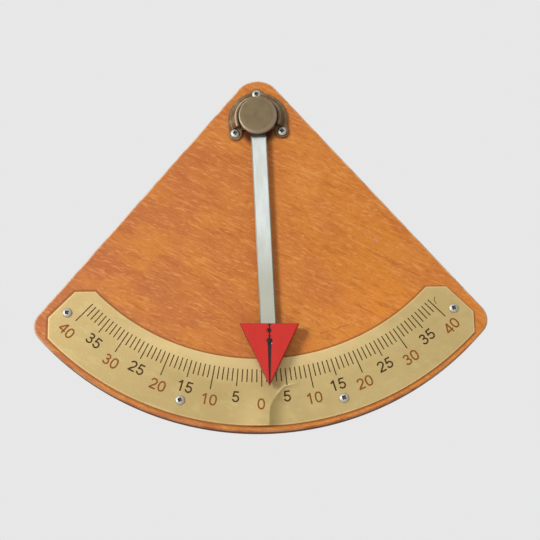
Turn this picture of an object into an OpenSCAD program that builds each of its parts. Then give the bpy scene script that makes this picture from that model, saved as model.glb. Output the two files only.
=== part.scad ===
// Wall-hung pendulum clinometer.
// X points right, Z up, and the dial faces -Y. The back of the board is the
// plane y = 0, and the origin lies midway between the two keyhole hangers.

/* [Board] */
// Radius of the bottom arc of the board
board_r = 238; // [235:1:260]
// Thickness of the wooden board
board_t = 14; // [14:0.5:20]
// Half the angle between the straight sides
board_half_angle = 40.3; // [40:0.1:43]
// Height of the sharp meeting point of the sides above the dial centre
apex_rise = 64.5; // [62:0.5:80]
// Rounding radius of the top of the board
apex_round = 20; // [12:1:24]
// Rounding radius of the two lower corners
corner_round = 14; // [8:1:20]

/* [Scale plate] */
// Width of the band of bare wood below the plate
plate_margin = 4.8; // [4:0.1:6.5]
// Width of the plate from its inner arc to its outer arc
plate_w = 52.4; // [51.2:0.2:55.2]
// Thickness of the plate metal
plate_t = 1; // [0.8:0.1:1.5]
// Angle from the centre line to each end of the plate
plate_half_angle = 49.5; // [49:0.1:49.5]
// Length of the corner chamfers
plate_chamfer = 11.5; // [8:0.5:13]
// Distance from the plate's outer arc up to the inner pair of plate screws
low_screw_inset = 11.5; // [10.2:0.1:13.2]
// Angle of the inner pair of plate screws
low_screw_angle = 16.65; // [15:0.05:18]
// Distance from the plate's outer arc up to the end pair of plate screws
end_screw_inset = 24.7; // [21.2:0.1:27.2]
// Angle of the end pair of plate screws
end_screw_angle = 47; // [46.5:0.1:47]

/* [Pan-head screws] */
// Diameter of the screw heads
head_d = 7.5; // [6.5:0.1:7.8]
// Height of the screw heads
head_h = 2.2; // [1.8:0.1:2.4]
// Diameter of the screw shanks
shank_d = 3.5; // [3:0.1:3.6]
// Length of the screws below the head
shank_l = 10; // [7:0.5:11]

/* [Pivot housing] */
// Height of the pivot axis above the dial centre
pivot_rise = 18; // [17:0.5:20]
// Half the width of the horseshoe flange
flange_r = 24.4; // [24:0.1:26]
// Thickness of the flange
flange_t = 2.5; // [2:0.1:2.6]
// Radius of the circle through the three housing screws
bolt_r = 22.2; // [22.1:0.1:23]
// Radius of the lugs round the housing screws
lug_r = 5.5; // [5:0.1:6]
// Inside radius of the raised wall
wall_r_in = 16.4; // [16.2:0.1:16.8]
// Outside radius of the raised wall
wall_r_out = 18.6; // [18:0.1:18.8]
// Height of the raised wall above the board
wall_h = 9; // [8:0.1:9.5]
// Radius at the foot of the sloping shoulder
shoulder_r = 22; // [21:0.1:23]
// Half the angle of the gap in the wall through which the arm swings
gap_half_angle = 68; // [67:0.5:70]
// Anticlockwise turn of the housing on the board
housing_turn = 2.4; // [0:0.1:2.6]

/* [Pivot cap] */
// Radius of the round cap
cap_r = 15.6; // [14:0.1:16]
// Thickness of the cap disc
cap_t = 3; // [2.8:0.1:4]

/* [Bearing] */
// Diameter of the spindle journal
journal_d = 5; // [4.5:0.1:5.2]
// Outside diameter of the ball bearing
bearing_d = 16; // [16:0.1:17]
// Width of the ball bearing
bearing_w = 5; // [5:0.1:5.4]
// Diameter of the balls
ball_d = 2.8; // [2.4:0.1:2.9]
// Number of balls
ball_count = 7; // [6:1:8]
// Radial clearance between the bearing races and their seats
seat_gap = 0.01; // [0.01:0.01:0.04]

/* [Pendulum] */
// Angle at which the pendulum hangs, to the right of the board's centre line
hang_angle = 2; // [0:0.1:3]
// Radius of the hub
hub_r = 11.5; // [11.3:0.1:12]
// Width of the hub's neck
neck_w = 11.3; // [11:0.1:11.6]
// Width of the arm
arm_w = 12.7; // [12.3:0.1:13]
// Thickness of the arm
arm_t = 1.5; // [1.3:0.1:1.6]
// Distance from the pivot to the shoulder at the top of the arm
arm_top = 15.8; // [15.6:0.1:16]
// Length of the arm below the lower pointer screw
arm_tail = 4.8; // [4.3:0.1:6.8]
// Gap between the arm and the housing screw heads behind it
arm_gap = 0.9; // [0.6:0.1:1]

/* [Pointer] */
// Width of the pointer along its top edge
pointer_w = 45.8; // [42:0.1:50]
// Length of the pointer from top edge to tip
pointer_l = 48.1; // [44:0.1:50]
// Thickness of the pointer
pointer_t = 7.2; // [5:0.1:9]
// Distance from the plate's inner arc down to the tip of the pointer
tip_reach = 23.7; // [22.3:0.1:25.3]
// Small turn of the pointer on the arm
pointer_skew = 2.7; // [0:0.1:3]
// Width of the index needle at its head
needle_w = 3; // [2:0.1:3.4]
// Width of the index needle at its tip
needle_tip_w = 1; // [0.8:0.1:1.4]
// Distance from the pointer's top edge down to the lower pointer screw
low_bolt_inset = 12.8; // [12:0.1:13.5]
// Distance between the two pointer screws
bolt_step = 8.2; // [7.6:0.1:8.6]

/* [Hangers] */
// Distance between the two keyhole hangers
hanger_pitch = 120; // [100:1:130]
// Distance from the hangers up to the pivot axis
hanger_drop = 62; // [60:1:80]
// Width of a hanger plate
hanger_w = 16; // [14:0.5:18]
// Length of a hanger plate
hanger_l = 44; // [42:0.5:48]
// Thickness of a hanger plate
hanger_t = 1.5; // [1.2:0.1:2]
// Diameter of the round opening of the keyhole
key_d = 9; // [8.5:0.1:10]
// Width of the keyhole slot
slot_w = 4.4; // [4:0.1:4.8]

/* [Hidden] */
$fn = 96;
eps = 0.01;

pivot_z = hanger_drop;
dial_z = pivot_z - pivot_rise;

// The plate follows the bottom arc of the board, and the pendulum the plate
plate_r_out = board_r - plate_margin;
plate_r_in = plate_r_out - plate_w;
low_screw_r = plate_r_out - low_screw_inset;
end_screw_r = plate_r_out - end_screw_inset;
pointer_top = plate_r_in + pivot_rise + tip_reach - pointer_l;
low_bolt = pointer_top + low_bolt_inset;
arm_bottom = low_bolt + arm_tail;

// Pan-head screws and their holes
head_r = head_d / 2;
head_rim = 0.9;
shank_r = shank_d / 2;
screw_clear = 0.05;
recess_span = 0.6 * head_d;
recess_w = 1.1;
recess_depth = 1.4;

// Depths are heights above the front of the board
screw_seat = flange_t - 0.3;
pan_top = screw_seat + head_h;
arm_back = pan_top + arm_gap;
arm_front = arm_back + arm_t;
pointer_front = arm_front + pointer_t;

// Straight sides of the horseshoe, just inside its round top
flange_side = flange_r - 0.3;

// Spindle and bearing, stacked outwards from the flange
collar_r = 6;
collar_t = 0.9;
abut_t = 0.4;
bearing_back = flange_t + collar_t + abut_t;
bearing_front = bearing_back + bearing_w;
journal_r = journal_d / 2;
bearing_r = bearing_d / 2;
inner_wall = 1.8;
outer_wall = 1.1;
inner_r = journal_r + inner_wall;
outer_r = bearing_r - outer_wall;
pitch_r = (inner_r + outer_r) / 2;
ball_r = ball_d / 2;
race_gap = 0.22;
race_r = ball_r + race_gap;
ball_y = bearing_back + bearing_w / 2;
cage_half = 1.9;
cage_t = 0.9;
shield_t = 0.3;
shield_step = 0.3;
shield_gap = 0.3;

// Hub
hub_back = flange_t + 0.8;
lip_r = bearing_r - 0.8;
clip_t = 0.6;
clip_depth = 0.4;
clip_gap = 0.05;
hub_front = bearing_front + 1;
neck_end = arm_top + 1;
tongue_w = neck_w - 2.2;
tongue_clear = 0.05;
tongue_end = bearing_r + 1.4;
small_r = 1;
small_head_r = 1.8;
small_head_h = 1.2;
small_x = 2.6;
small_z = (tongue_end + arm_top) / 2;

// Cap
cap_back = hub_front + 0.4;
cap_front = cap_back + cap_t;
cap_chamfer = 0.6;
boss_r = 3.6;
thread_r = 2;
thread_clear = 0.03;
thread_end = cap_back + 2.1;

// Spindle tail, washer and nut in the counterbore at the back
tail_r = 3;
tail_hole_r = 3.2;
bore_r = 8.5;
bore_depth = 7;
washer_r = 6;
washer_t = 1;
nut_t = 5;
nut_r = 5.77;
tail_end = board_t - 0.6;

// Pointer fasteners
bolt_shank_r = 1.25;
bolt_head_low = 2.2;
bolt_head_top = 1.75;
bolt_head_h = 1.1;
bolt_nut_r = 2.89;
bolt_nut_t = 2;
needle_t = 0.6;
needle_proud = 0.2;
needle_gap = 0.05;
needle_reach = 0.6;

// Hangers
key_r = key_d / 2;
slot_top = 13;
hanger_mid = 5;
hanger_screw_span = hanger_l - 10;
hanger_shank_r = 1.4;
hanger_head_r = 2.9;
hanger_screw_l = 9;
pocket_depth = 5;
pocket_margin = 1;

// Outline of the board, about the dial centre
side = [sin(board_half_angle), -cos(board_half_angle)];
inward = [-cos(board_half_angle), -sin(board_half_angle)];
offset_start = [0, apex_rise] + corner_round * inward;
along = offset_start * side;
reach_r = board_r - corner_round;
run = -along + sqrt(along * along - offset_start * offset_start + reach_r * reach_r);
corner_c = offset_start + run * side;
corner_end = atan2(corner_c[1], corner_c[0]);
apex_c = [0, apex_rise - apex_round / sin(board_half_angle)];
round_steps = 20;

function mirrored(p) = [-p[0], p[1]];
function polar(r, a) = [r * sin(a), -r * cos(a)];
function arc_point(c, r, a) = c + r * [cos(a), sin(a)];

// Slab of a 2D shape, from height h above the board towards the front
module slab(h, t) {
    translate([0, -board_t - h, 0])
        rotate([90, 0, 0])
            linear_extrude(t)
                children();
}

// Solid whose own +Z is made to point out of the dial at the pivot
module on_pivot(h) {
    translate([0, -board_t - h, pivot_z])
        rotate([90, 0, 0])
            children();
}

// Places children on the pivot, turned with the pendulum
module hanging() {
    translate([0, 0, pivot_z])
        rotate([0, -hang_angle, 0])
            children();
}

// Places children on the pivot, turned with the housing
module on_housing() {
    translate([0, 0, pivot_z])
        rotate([0, -housing_turn, 0])
            children();
}

module on_dial() {
    translate([0, 0, dial_z])
        children();
}

// Pan-head screw with a cross recess, seated on its own plane z = 0
module pan_screw() {
    dome_rise = head_h - head_rim;
    dome_r = (head_r * head_r + dome_rise * dome_rise) / (2 * dome_rise);
    difference() {
        union() {
            intersection() {
                cylinder(r = head_r, h = head_h);
                translate([0, 0, head_h - dome_r])
                    sphere(r = dome_r);
            }
            translate([0, 0, -shank_l])
                cylinder(r = shank_r, h = shank_l + eps);
        }
        for (turn = [0, 90])
            rotate([0, 0, turn])
                translate([-recess_span / 2, -recess_w / 2, head_h - recess_depth])
                    cube([recess_span, recess_w, recess_depth + 1]);
    }
}

module pilot_hole() {
    translate([0, 0, -shank_l - 0.5])
        cylinder(r = shank_r + screw_clear, h = shank_l + 0.5 + eps);
}

// Positions of the four plate screws, about the dial centre
module at_plate_screws() {
    for (s = [-1, 1]) {
        spots = [polar(low_screw_r, s * low_screw_angle), polar(end_screw_r, s * end_screw_angle)];
        for (p = spots)
            translate([p[0], 0, p[1]])
                rotate([0, s * 20, 0])
                    children();
    }
}

// Positions of the three housing screws, about the pivot
module at_housing_screws() {
    for (a = [0, 120, 240])
        rotate([0, a, 0])
            translate([0, 0, bolt_r])
                children();
}

// Positions of the two hangers
module at_hangers() {
    for (s = [-1, 1])
        translate([s * hanger_pitch / 2, 0, 0])
            children();
}

// The straight sides and rounded corners, clipped by the circle of the bottom
module board_outline() {
    apex_sweep = 90 - board_half_angle;
    corner_sweep = board_half_angle - corner_end;
    right = concat(
        [
            for (i = [0:round_steps / 2])
                arc_point(apex_c, apex_round, 90 - apex_sweep * i / (round_steps / 2))
        ],
        [
            for (i = [0:round_steps - 1])
                arc_point(corner_c, corner_round, board_half_angle - corner_sweep * i / round_steps)
        ],
        [1.4 * corner_c]
    );
    last = len(right) - 1;
    intersection() {
        circle(r = board_r);
        polygon(concat(
            right,
            [[0, -2 * board_r]],
            [for (i = [last:-1:1]) mirrored(right[i])]
        ));
    }
}

module backboard() {
    color("peru")
    difference() {
        on_dial()
            slab(-board_t, board_t)
                board_outline();
        on_pivot(-board_t - 1)
            cylinder(r = tail_hole_r, h = board_t + 2);
        on_pivot(-board_t - 1)
            cylinder(r = bore_r, h = bore_depth + 1);
        on_dial()
            at_plate_screws()
                translate([0, -board_t, 0])
                    rotate([90, 0, 0])
                        pilot_hole();
        on_housing()
            at_housing_screws()
                translate([0, -board_t, 0])
                    rotate([90, 0, 0])
                        pilot_hole();
        at_hangers() {
            translate([-hanger_w / 2, -hanger_t, hanger_mid - hanger_l / 2])
                cube([hanger_w, hanger_t + 1, hanger_l]);
            translate([
                -key_r - pocket_margin,
                -hanger_t - pocket_depth,
                -key_r - pocket_margin
            ])
                cube([
                    key_d + 2 * pocket_margin,
                    pocket_depth + 1,
                    slot_top + key_r + 3 * pocket_margin
                ]);
            for (s = [-1, 1])
                translate([0, 0, hanger_mid + s * hanger_screw_span / 2])
                    rotate([90, 0, 0])
                        cylinder(r = hanger_shank_r + screw_clear, h = hanger_screw_l + 0.5);
        }
    }
}

module plate_outline() {
    in_step = plate_chamfer * 180 / (PI * plate_r_in);
    out_step = plate_chamfer * 180 / (PI * plate_r_out);
    right = [
        polar(plate_r_in, plate_half_angle - in_step),
        polar(plate_r_in + plate_chamfer, plate_half_angle),
        polar(plate_r_out - plate_chamfer, plate_half_angle),
        polar(plate_r_out, plate_half_angle - out_step),
        polar(1.3 * plate_r_out, plate_half_angle - out_step)
    ];
    difference() {
        intersection() {
            circle(r = plate_r_out);
            polygon(concat(
                [[0, 0]],
                right,
                [[0, -2 * plate_r_out]],
                [for (i = [4:-1:0]) mirrored(right[i])]
            ));
        }
        circle(r = plate_r_in);
    }
}

module scale_plate() {
    color("khaki")
    on_dial()
        difference() {
            slab(0, plate_t)
                plate_outline();
            at_plate_screws()
                translate([0, -board_t + 1, 0])
                    rotate([90, 0, 0])
                        cylinder(r = shank_r + 0.25, h = plate_t + 2);
        }
}

module scale_screws() {
    color("silver")
    on_dial()
        at_plate_screws()
            translate([0, -board_t - plate_t, 0])
                rotate([90, 0, 0])
                    pan_screw();
}

module flange_outline() {
    difference() {
        union() {
            intersection() {
                union() {
                    circle(r = flange_r);
                    translate([-flange_side, -flange_r])
                        square([2 * flange_side, flange_r]);
                }
                translate([-2 * flange_r, -bolt_r / 2])
                    square([4 * flange_r, 2 * flange_r]);
            }
            for (a = [0, 120, 240])
                rotate(a)
                    translate([0, bolt_r])
                        circle(r = lug_r);
        }
        translate([-bolt_r * sin(60) + lug_r + 0.5, -2 * flange_r])
            square([2 * (bolt_r * sin(60) - lug_r - 0.5), 2 * flange_r - 8]);
    }
}

// Wedge below the pivot through which the arm swings
module gap_wedge() {
    far = 3 * flange_r;
    polygon([
        [0, 0],
        far * [-sin(gap_half_angle), -cos(gap_half_angle)],
        [-far, -far],
        [far, -far],
        far * [sin(gap_half_angle), -cos(gap_half_angle)]
    ]);
}

module pivot_housing() {
    color("#82735a")
    on_housing()
        difference() {
            union() {
                slab(0, flange_t)
                    flange_outline();
                difference() {
                    translate([0, -board_t, 0])
                        rotate([90, 0, 0])
                            rotate_extrude()
                                polygon([
                                    [wall_r_in, flange_t - 0.5],
                                    [shoulder_r, flange_t - 0.5],
                                    [shoulder_r, flange_t],
                                    [wall_r_out, wall_h - 0.6],
                                    [wall_r_out - 0.6, wall_h],
                                    [wall_r_in, wall_h]
                                ]);
                    slab(0, wall_h + 1)
                        gap_wedge();
                }
            }
            translate([0, -board_t + 1, 0])
                rotate([90, 0, 0])
                    cylinder(r = tail_hole_r, h = flange_t + 2);
            at_housing_screws() {
                translate([0, -board_t - screw_seat, 0])
                    rotate([90, 0, 0])
                        cylinder(r = head_r + 0.4, h = wall_h);
                translate([0, -board_t + 1, 0])
                    rotate([90, 0, 0])
                        cylinder(r = shank_r + 0.25, h = flange_t + 2);
            }
        }
}

module housing_screws() {
    color("silver")
    on_housing()
        at_housing_screws()
            translate([0, -board_t - screw_seat, 0])
                rotate([90, 0, 0])
                    pan_screw();
}

module pivot_cap() {
    color("#85775a")
    on_pivot(0)
        difference() {
            rotate_extrude()
                polygon([
                    [0, bearing_front],
                    [boss_r, bearing_front],
                    [boss_r, cap_back],
                    [cap_r, cap_back],
                    [cap_r, cap_front - cap_chamfer],
                    [cap_r - cap_chamfer, cap_front],
                    [0, cap_front]
                ]);
            translate([0, 0, bearing_front - 1])
                cylinder(r = thread_r + thread_clear, h = thread_end + 0.3 - bearing_front + 1);
        }
}

module spindle() {
    color("lightgray")
    on_pivot(0)
        rotate_extrude()
            polygon([
                [0, -tail_end],
                [tail_r - 0.5, -tail_end],
                [tail_r, -tail_end + 0.5],
                [tail_r, flange_t],
                [collar_r, flange_t],
                [collar_r, flange_t + collar_t],
                [inner_r - 0.5, flange_t + collar_t],
                [inner_r - 0.5, bearing_back],
                [journal_r, bearing_back],
                [journal_r, bearing_front],
                [thread_r, bearing_front],
                [thread_r, thread_end],
                [0, thread_end]
            ]);
}

module spindle_washer() {
    color("silver")
    on_pivot(bore_depth - board_t - washer_t)
        difference() {
            cylinder(r = washer_r, h = washer_t);
            translate([0, 0, -1])
                cylinder(r = tail_hole_r, h = washer_t + 2);
        }
}

module spindle_nut() {
    color("silver")
    on_pivot(bore_depth - board_t - washer_t - nut_t)
        difference() {
            cylinder(r = nut_r, h = nut_t, $fn = 6);
            translate([0, 0, -1])
                cylinder(r = tail_r + thread_clear, h = nut_t + 2);
        }
}

module bearing_inner_ring() {
    color("lightgray")
    on_pivot(0)
        rotate_extrude()
            difference() {
                translate([journal_r + seat_gap, bearing_back])
                    square([inner_r - journal_r - seat_gap, bearing_w]);
                translate([pitch_r, ball_y])
                    circle(r = race_r);
            }
}

module bearing_outer_ring() {
    color("lightgray")
    on_pivot(0)
        rotate_extrude()
            difference() {
                translate([outer_r, bearing_back])
                    square([bearing_r - seat_gap - outer_r, bearing_w]);
                translate([pitch_r, ball_y])
                    circle(r = race_r);
                for (y = [bearing_back - 1, bearing_front - shield_t])
                    translate([outer_r - 1, y])
                        square([1 + shield_step, 1 + shield_t]);
            }
}

module at_balls() {
    for (i = [0:ball_count - 1])
        rotate([0, 0, i * 360 / ball_count])
            translate([pitch_r, 0, ball_y])
                children();
}

module bearing_balls() {
    color("white")
    on_pivot(0)
        at_balls()
            sphere(r = ball_r);
}

module bearing_cage() {
    color("goldenrod")
    on_pivot(0)
        difference() {
            translate([0, 0, ball_y - cage_half])
                difference() {
                    cylinder(r = pitch_r + cage_t / 2, h = 2 * cage_half);
                    translate([0, 0, -1])
                        cylinder(r = pitch_r - cage_t / 2, h = 2 * cage_half + 2);
                }
            at_balls()
                rotate([0, 90, 0])
                    translate([0, 0, -cage_t])
                        cylinder(r = ball_r + 0.1, h = 2 * cage_t);
        }
}

module bearing_shields() {
    color("gray")
    for (h = [bearing_back, bearing_front - shield_t])
        on_pivot(h)
            difference() {
                cylinder(r = outer_r + shield_step - 0.02, h = shield_t);
                translate([0, 0, -1])
                    cylinder(r = inner_r + shield_gap, h = shield_t + 2);
            }
}

module bearing_clip() {
    color("dimgray")
    hanging()
        difference() {
            translate([0, -board_t - bearing_front, 0])
                rotate([90, 0, 0])
                    difference() {
                        cylinder(r = bearing_r + clip_depth - clip_gap, h = clip_t);
                        translate([0, 0, -1])
                            cylinder(r = lip_r, h = clip_t + 2);
                    }
            translate([-1.5, -board_t - hub_front - 1, 0])
                cube([3, 3, bearing_r + 2]);
        }
}

module hub() {
    color("#5c5a46")
    hanging()
        difference() {
            union() {
                slab(hub_back, hub_front - hub_back)
                    circle(r = hub_r);
                slab(hub_back, hub_front - hub_back)
                    translate([-neck_w / 2, -neck_end])
                        square([neck_w, neck_end]);
            }
            slab(hub_back - 1, hub_front)
                circle(r = lip_r);
            slab(bearing_back, hub_front)
                circle(r = bearing_r);
            slab(bearing_front - eps, clip_t + 2 * eps)
                circle(r = bearing_r + clip_depth);
            slab(hub_back - 1, arm_front - hub_back + 1)
                translate([-tongue_w / 2 - tongue_clear, -neck_end - 1])
                    square([tongue_w + 2 * tongue_clear, neck_end + 1 - tongue_end + tongue_clear]);
            slab(hub_back - 1, arm_front - hub_back + 1)
                translate([-neck_w, -neck_end - 1])
                    square([2 * neck_w, neck_end + 1 - arm_top + tongue_clear]);
            for (s = [-1, 1])
                translate([s * small_x, 0, -small_z])
                    slab(hub_back, hub_front - hub_back - 0.5)
                        circle(r = small_r + thread_clear);
        }
}

module pendulum_arm() {
    color("silver")
    hanging()
        difference() {
            union() {
                slab(arm_back, arm_t)
                    translate([-arm_w / 2, -arm_bottom])
                        square([arm_w, arm_bottom - arm_top]);
                slab(arm_back, arm_t)
                    translate([-tongue_w / 2, -arm_top - eps])
                        square([tongue_w, arm_top - tongue_end]);
            }
            for (s = [-1, 1])
                translate([s * small_x, 0, -small_z])
                    slab(arm_back - 1, arm_t + 2)
                        circle(r = small_r + 0.1);
            for (z = [low_bolt, low_bolt - bolt_step])
                translate([0, 0, -z])
                    slab(arm_back - 1, arm_t + 2)
                        circle(r = bolt_shank_r + 0.1);
        }
}

module arm_screws() {
    color("silver")
    hanging()
        for (s = [-1, 1])
            translate([s * small_x, 0, -small_z])
                difference() {
                    union() {
                        slab(arm_back - small_head_h, small_head_h)
                            circle(r = small_head_r);
                        slab(arm_back - eps, hub_front - arm_back - 1)
                            circle(r = small_r);
                    }
                    slab(arm_back - small_head_h - 1, 1.6)
                        square([2.6, 0.5], center = true);
                }
}

// Places children on the pointer, with the point of turn on the arm
module on_pointer() {
    turn_z = -arm_bottom;
    hanging()
        translate([0, 0, turn_z])
            rotate([0, pointer_skew, 0])
                translate([0, 0, -turn_z])
                    children();
}

module needle_outline(gap) {
    polygon([
        [-needle_w / 2 - gap, -low_bolt + gap],
        [needle_w / 2 + gap, -low_bolt + gap],
        [needle_tip_w / 2 + gap, -pointer_top - pointer_l - needle_reach + 1],
        [0, -pointer_top - pointer_l - needle_reach - gap],
        [-needle_tip_w / 2 - gap, -pointer_top - pointer_l - needle_reach + 1]
    ]);
}

module pointer() {
    color("crimson")
    difference() {
        on_pointer()
            slab(arm_front, pointer_t)
                polygon([
                    [-pointer_w / 2, -pointer_top],
                    [0, -pointer_top - pointer_l],
                    [pointer_w / 2, -pointer_top]
                ]);
        on_pointer()
            slab(pointer_front - needle_t + needle_proud, needle_t)
                needle_outline(needle_gap);
        hanging()
            for (z = [low_bolt, low_bolt - bolt_step])
                translate([0, 0, -z])
                    slab(arm_front - 1, pointer_t + 2)
                        circle(r = bolt_shank_r + 0.1);
    }
}

module index_needle() {
    color("#1c1a1a")
    difference() {
        on_pointer()
            slab(pointer_front - needle_t + needle_proud, needle_t)
                needle_outline(0);
        hanging()
            translate([0, 0, -low_bolt])
                slab(arm_front - 1, pointer_t + 4)
                    circle(r = bolt_head_low + 0.05);
    }
}

module pointer_bolt(head) {
    slab(pointer_front, bolt_head_h)
        circle(r = head);
    slab(arm_back - bolt_nut_t - 0.4, pointer_front - arm_back + bolt_nut_t + 0.4 + eps)
        circle(r = bolt_shank_r);
}

module pointer_screws() {
    color("#201e1e")
    hanging() {
        translate([0, 0, -low_bolt])
            pointer_bolt(bolt_head_low);
        translate([0, 0, -low_bolt + bolt_step])
            pointer_bolt(bolt_head_top);
    }
}

module pointer_nuts() {
    color("dimgray")
    hanging()
        for (z = [low_bolt, low_bolt - bolt_step])
            translate([0, 0, -z])
                difference() {
                    slab(arm_back - bolt_nut_t, bolt_nut_t)
                        circle(r = bolt_nut_r, $fn = 6);
                    slab(arm_back - bolt_nut_t - 1, bolt_nut_t + 2)
                        circle(r = bolt_shank_r + thread_clear);
                }
}

module keyhole_outline() {
    circle(r = key_r);
    translate([-slot_w / 2, 0])
        square([slot_w, slot_top - slot_w / 2]);
    translate([0, slot_top - slot_w / 2])
        circle(r = slot_w / 2);
}

module hanger_plates() {
    color("silver")
    at_hangers()
        rotate([90, 0, 0])
            difference() {
                linear_extrude(hanger_t)
                    difference() {
                        translate([-hanger_w / 2 + 0.1, hanger_mid - hanger_l / 2 + 0.1])
                            square([hanger_w - 0.2, hanger_l - 0.2]);
                        keyhole_outline();
                    }
                for (s = [-1, 1])
                    translate([0, hanger_mid + s * hanger_screw_span / 2, 0]) {
                        translate([0, 0, -1])
                            cylinder(r = hanger_shank_r + 0.15, h = hanger_t + 2);
                        translate([0, 0, -eps])
                            cylinder(r1 = hanger_head_r + 0.1, r2 = hanger_shank_r + 0.1, h = 1.4);
                    }
            }
}

module hanger_screws() {
    color("silver")
    at_hangers()
        for (s = [-1, 1])
            translate([0, 0, hanger_mid + s * hanger_screw_span / 2])
                rotate([90, 0, 0])
                    difference() {
                        union() {
                            cylinder(r1 = hanger_head_r, r2 = hanger_shank_r, h = 1.4);
                            cylinder(r = hanger_shank_r, h = hanger_screw_l);
                        }
                        for (turn = [0, 90])
                            rotate([0, 0, turn])
                                translate([-1.6, -0.35, -1])
                                    cube([3.2, 0.7, 1.9]);
                    }
}

backboard();
scale_plate();
scale_screws();
pivot_housing();
housing_screws();
pivot_cap();
spindle();
spindle_washer();
spindle_nut();
bearing_inner_ring();
bearing_balls();
bearing_cage();
bearing_outer_ring();
bearing_shields();
bearing_clip();
hub();
pendulum_arm();
arm_screws();
pointer();
index_needle();
pointer_screws();
pointer_nuts();
hanger_plates();
hanger_screws();
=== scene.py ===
"""Looks of a wall-hung pendulum clinometer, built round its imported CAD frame.

Lengths are written in millimetres and become metres when a mesh is made.
X points right, Z up, and the dial faces -Y; heights are measured forwards
from the front of the board.
"""

import math

import bmesh
import bpy
from mathutils import Matrix, Vector
from mathutils.geometry import delaunay_2d_cdt


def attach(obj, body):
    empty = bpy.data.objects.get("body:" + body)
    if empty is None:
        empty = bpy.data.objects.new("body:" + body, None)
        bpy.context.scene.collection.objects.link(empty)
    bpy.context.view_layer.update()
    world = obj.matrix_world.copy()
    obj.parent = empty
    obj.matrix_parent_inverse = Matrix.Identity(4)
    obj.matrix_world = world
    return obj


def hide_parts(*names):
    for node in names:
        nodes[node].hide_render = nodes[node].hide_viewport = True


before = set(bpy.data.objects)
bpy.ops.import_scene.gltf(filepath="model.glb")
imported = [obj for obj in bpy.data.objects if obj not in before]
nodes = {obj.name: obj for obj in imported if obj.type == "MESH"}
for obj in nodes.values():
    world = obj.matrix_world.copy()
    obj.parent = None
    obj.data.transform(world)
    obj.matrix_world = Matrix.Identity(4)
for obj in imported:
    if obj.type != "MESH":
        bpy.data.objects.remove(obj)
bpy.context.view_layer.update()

# --- Backboard ---------------------------------------------------------------
# A sector of plywood about 14 mm thick, stained orange and varnished. It is
# sawn to shape, its edges are rounded by hand and worn pale, and its back is
# routed out for the two hangers and for the nut of the spindle.
MM = 0.001
board_front = -14.0
dial_z = 44.0
pivot_z = 62.0
board_radius = 238.0
board_half_angle = math.radians(40.3)
apex_rise = 64.5
apex_round = 20.0
corner_round = 14.0
edge_round = 1.3
board_turn = math.radians(0.27)
grain_slope = math.radians(28.0)
ply_thickness = 2.8
plate_shift = 0.37
plate_inner = 180.8
plate_outer = 233.2
plate_top = -124.7
plate_side = 167.8
plate_cut = 15.9


def paint(red, green, blue):
    """A colour as a paint chart gives it, 0 to 255, in the values that shaders take."""
    parts = [c / 255 for c in (red, green, blue)]
    return tuple(
        p / 12.92 if p <= 0.04045 else ((p + 0.055) / 1.055) ** 2.4 for p in parts
    ) + (1.0,)


def add_node(tree, kind, feeds=None, **settings):
    """A node with its settings; feeds gives inputs a value or another node's output."""
    made = tree.nodes.new(kind)
    for name, value in settings.items():
        setattr(made, name, value)
    for key, value in (feeds or {}).items():
        if isinstance(value, bpy.types.NodeSocket):
            tree.links.new(value, made.inputs[key])
        else:
            made.inputs[key].default_value = value
    return made


def new_finish(name, colour, roughness, metallic=0.0, **sockets):
    """A material of one shader, whose even values are set on the shader itself."""
    finish = bpy.data.materials.new(name)
    finish.use_nodes = True
    shader = finish.node_tree.nodes["Principled BSDF"]
    shader.inputs["Base Color"].default_value = colour
    shader.inputs["Roughness"].default_value = roughness
    shader.inputs["Metallic"].default_value = metallic
    for key, value in sockets.items():
        shader.inputs[key.replace("_", " ")].default_value = value
    return finish, finish.node_tree, shader


def stretched(tree, size, turn=0.0):
    """Places on the object, turned to lie along the grain and counted in spots of a size."""
    place = add_node(tree, "ShaderNodeTexCoord").outputs["Object"]
    feeds = {"Vector": place, "Rotation": (0.0, turn, 0.0), "Scale": [MM * s for s in size]}
    return add_node(tree, "ShaderNodeMapping", feeds, vector_type="TEXTURE").outputs[0]


def ramp(tree, value, low, high, start=0.0, end=1.0):
    """Value eased from start at low to end at high."""
    feeds = {"Value": value, "From Min": low, "From Max": high, "To Min": start, "To Max": end}
    eased = add_node(tree, "ShaderNodeMapRange", feeds, interpolation_type="SMOOTHSTEP")
    return eased.outputs[0]


def spots(tree, size, low, high, turn=0.0, detail=3.0, amount=1.0, wave=0.0):
    """Soft noise with spots of that size in mm, 0 below low and amount above high."""
    place = stretched(tree, size, turn)
    feeds = {"Vector": place, "Scale": 1.0, "Detail": detail, "Distortion": wave}
    noise = add_node(tree, "ShaderNodeTexNoise", feeds).outputs[0]
    return ramp(tree, noise, low, high, 0.0, amount)


def blend(tree, amount, first, second):
    """The second colour laid over the first."""
    feeds = {0: amount, 6: first, 7: second}
    return add_node(tree, "ShaderNodeMix", feeds, data_type="RGBA", blend_type="MIX").outputs[2]


def sums(tree, operation, first, *others):
    """One step of arithmetic on two values, or carried on over more of them."""
    for other in others or (0.0,):
        feeds = {0: first, 1: other}
        first = add_node(tree, "ShaderNodeMath", feeds, operation=operation).outputs[0]
    return first


def axes(tree):
    """The X, Y and Z of the place on the object, in metres."""
    place = add_node(tree, "ShaderNodeTexCoord").outputs["Object"]
    return add_node(tree, "ShaderNodeSeparateXYZ", {0: place}).outputs


def coats(tree, colour, layers):
    """Colours laid on one after another; a layer lists what spots takes, then its colour."""
    for *pattern, tint in layers.values():
        colour = blend(tree, spots(tree, *pattern), colour, tint)
    return colour


def uneven_gloss(tree, shader, pattern, low, high):
    """Roughness that wanders from low to high as the pattern does."""
    tree.links.new(ramp(tree, pattern, 0.0, 1.0, low, high), shader.inputs["Roughness"])


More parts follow.
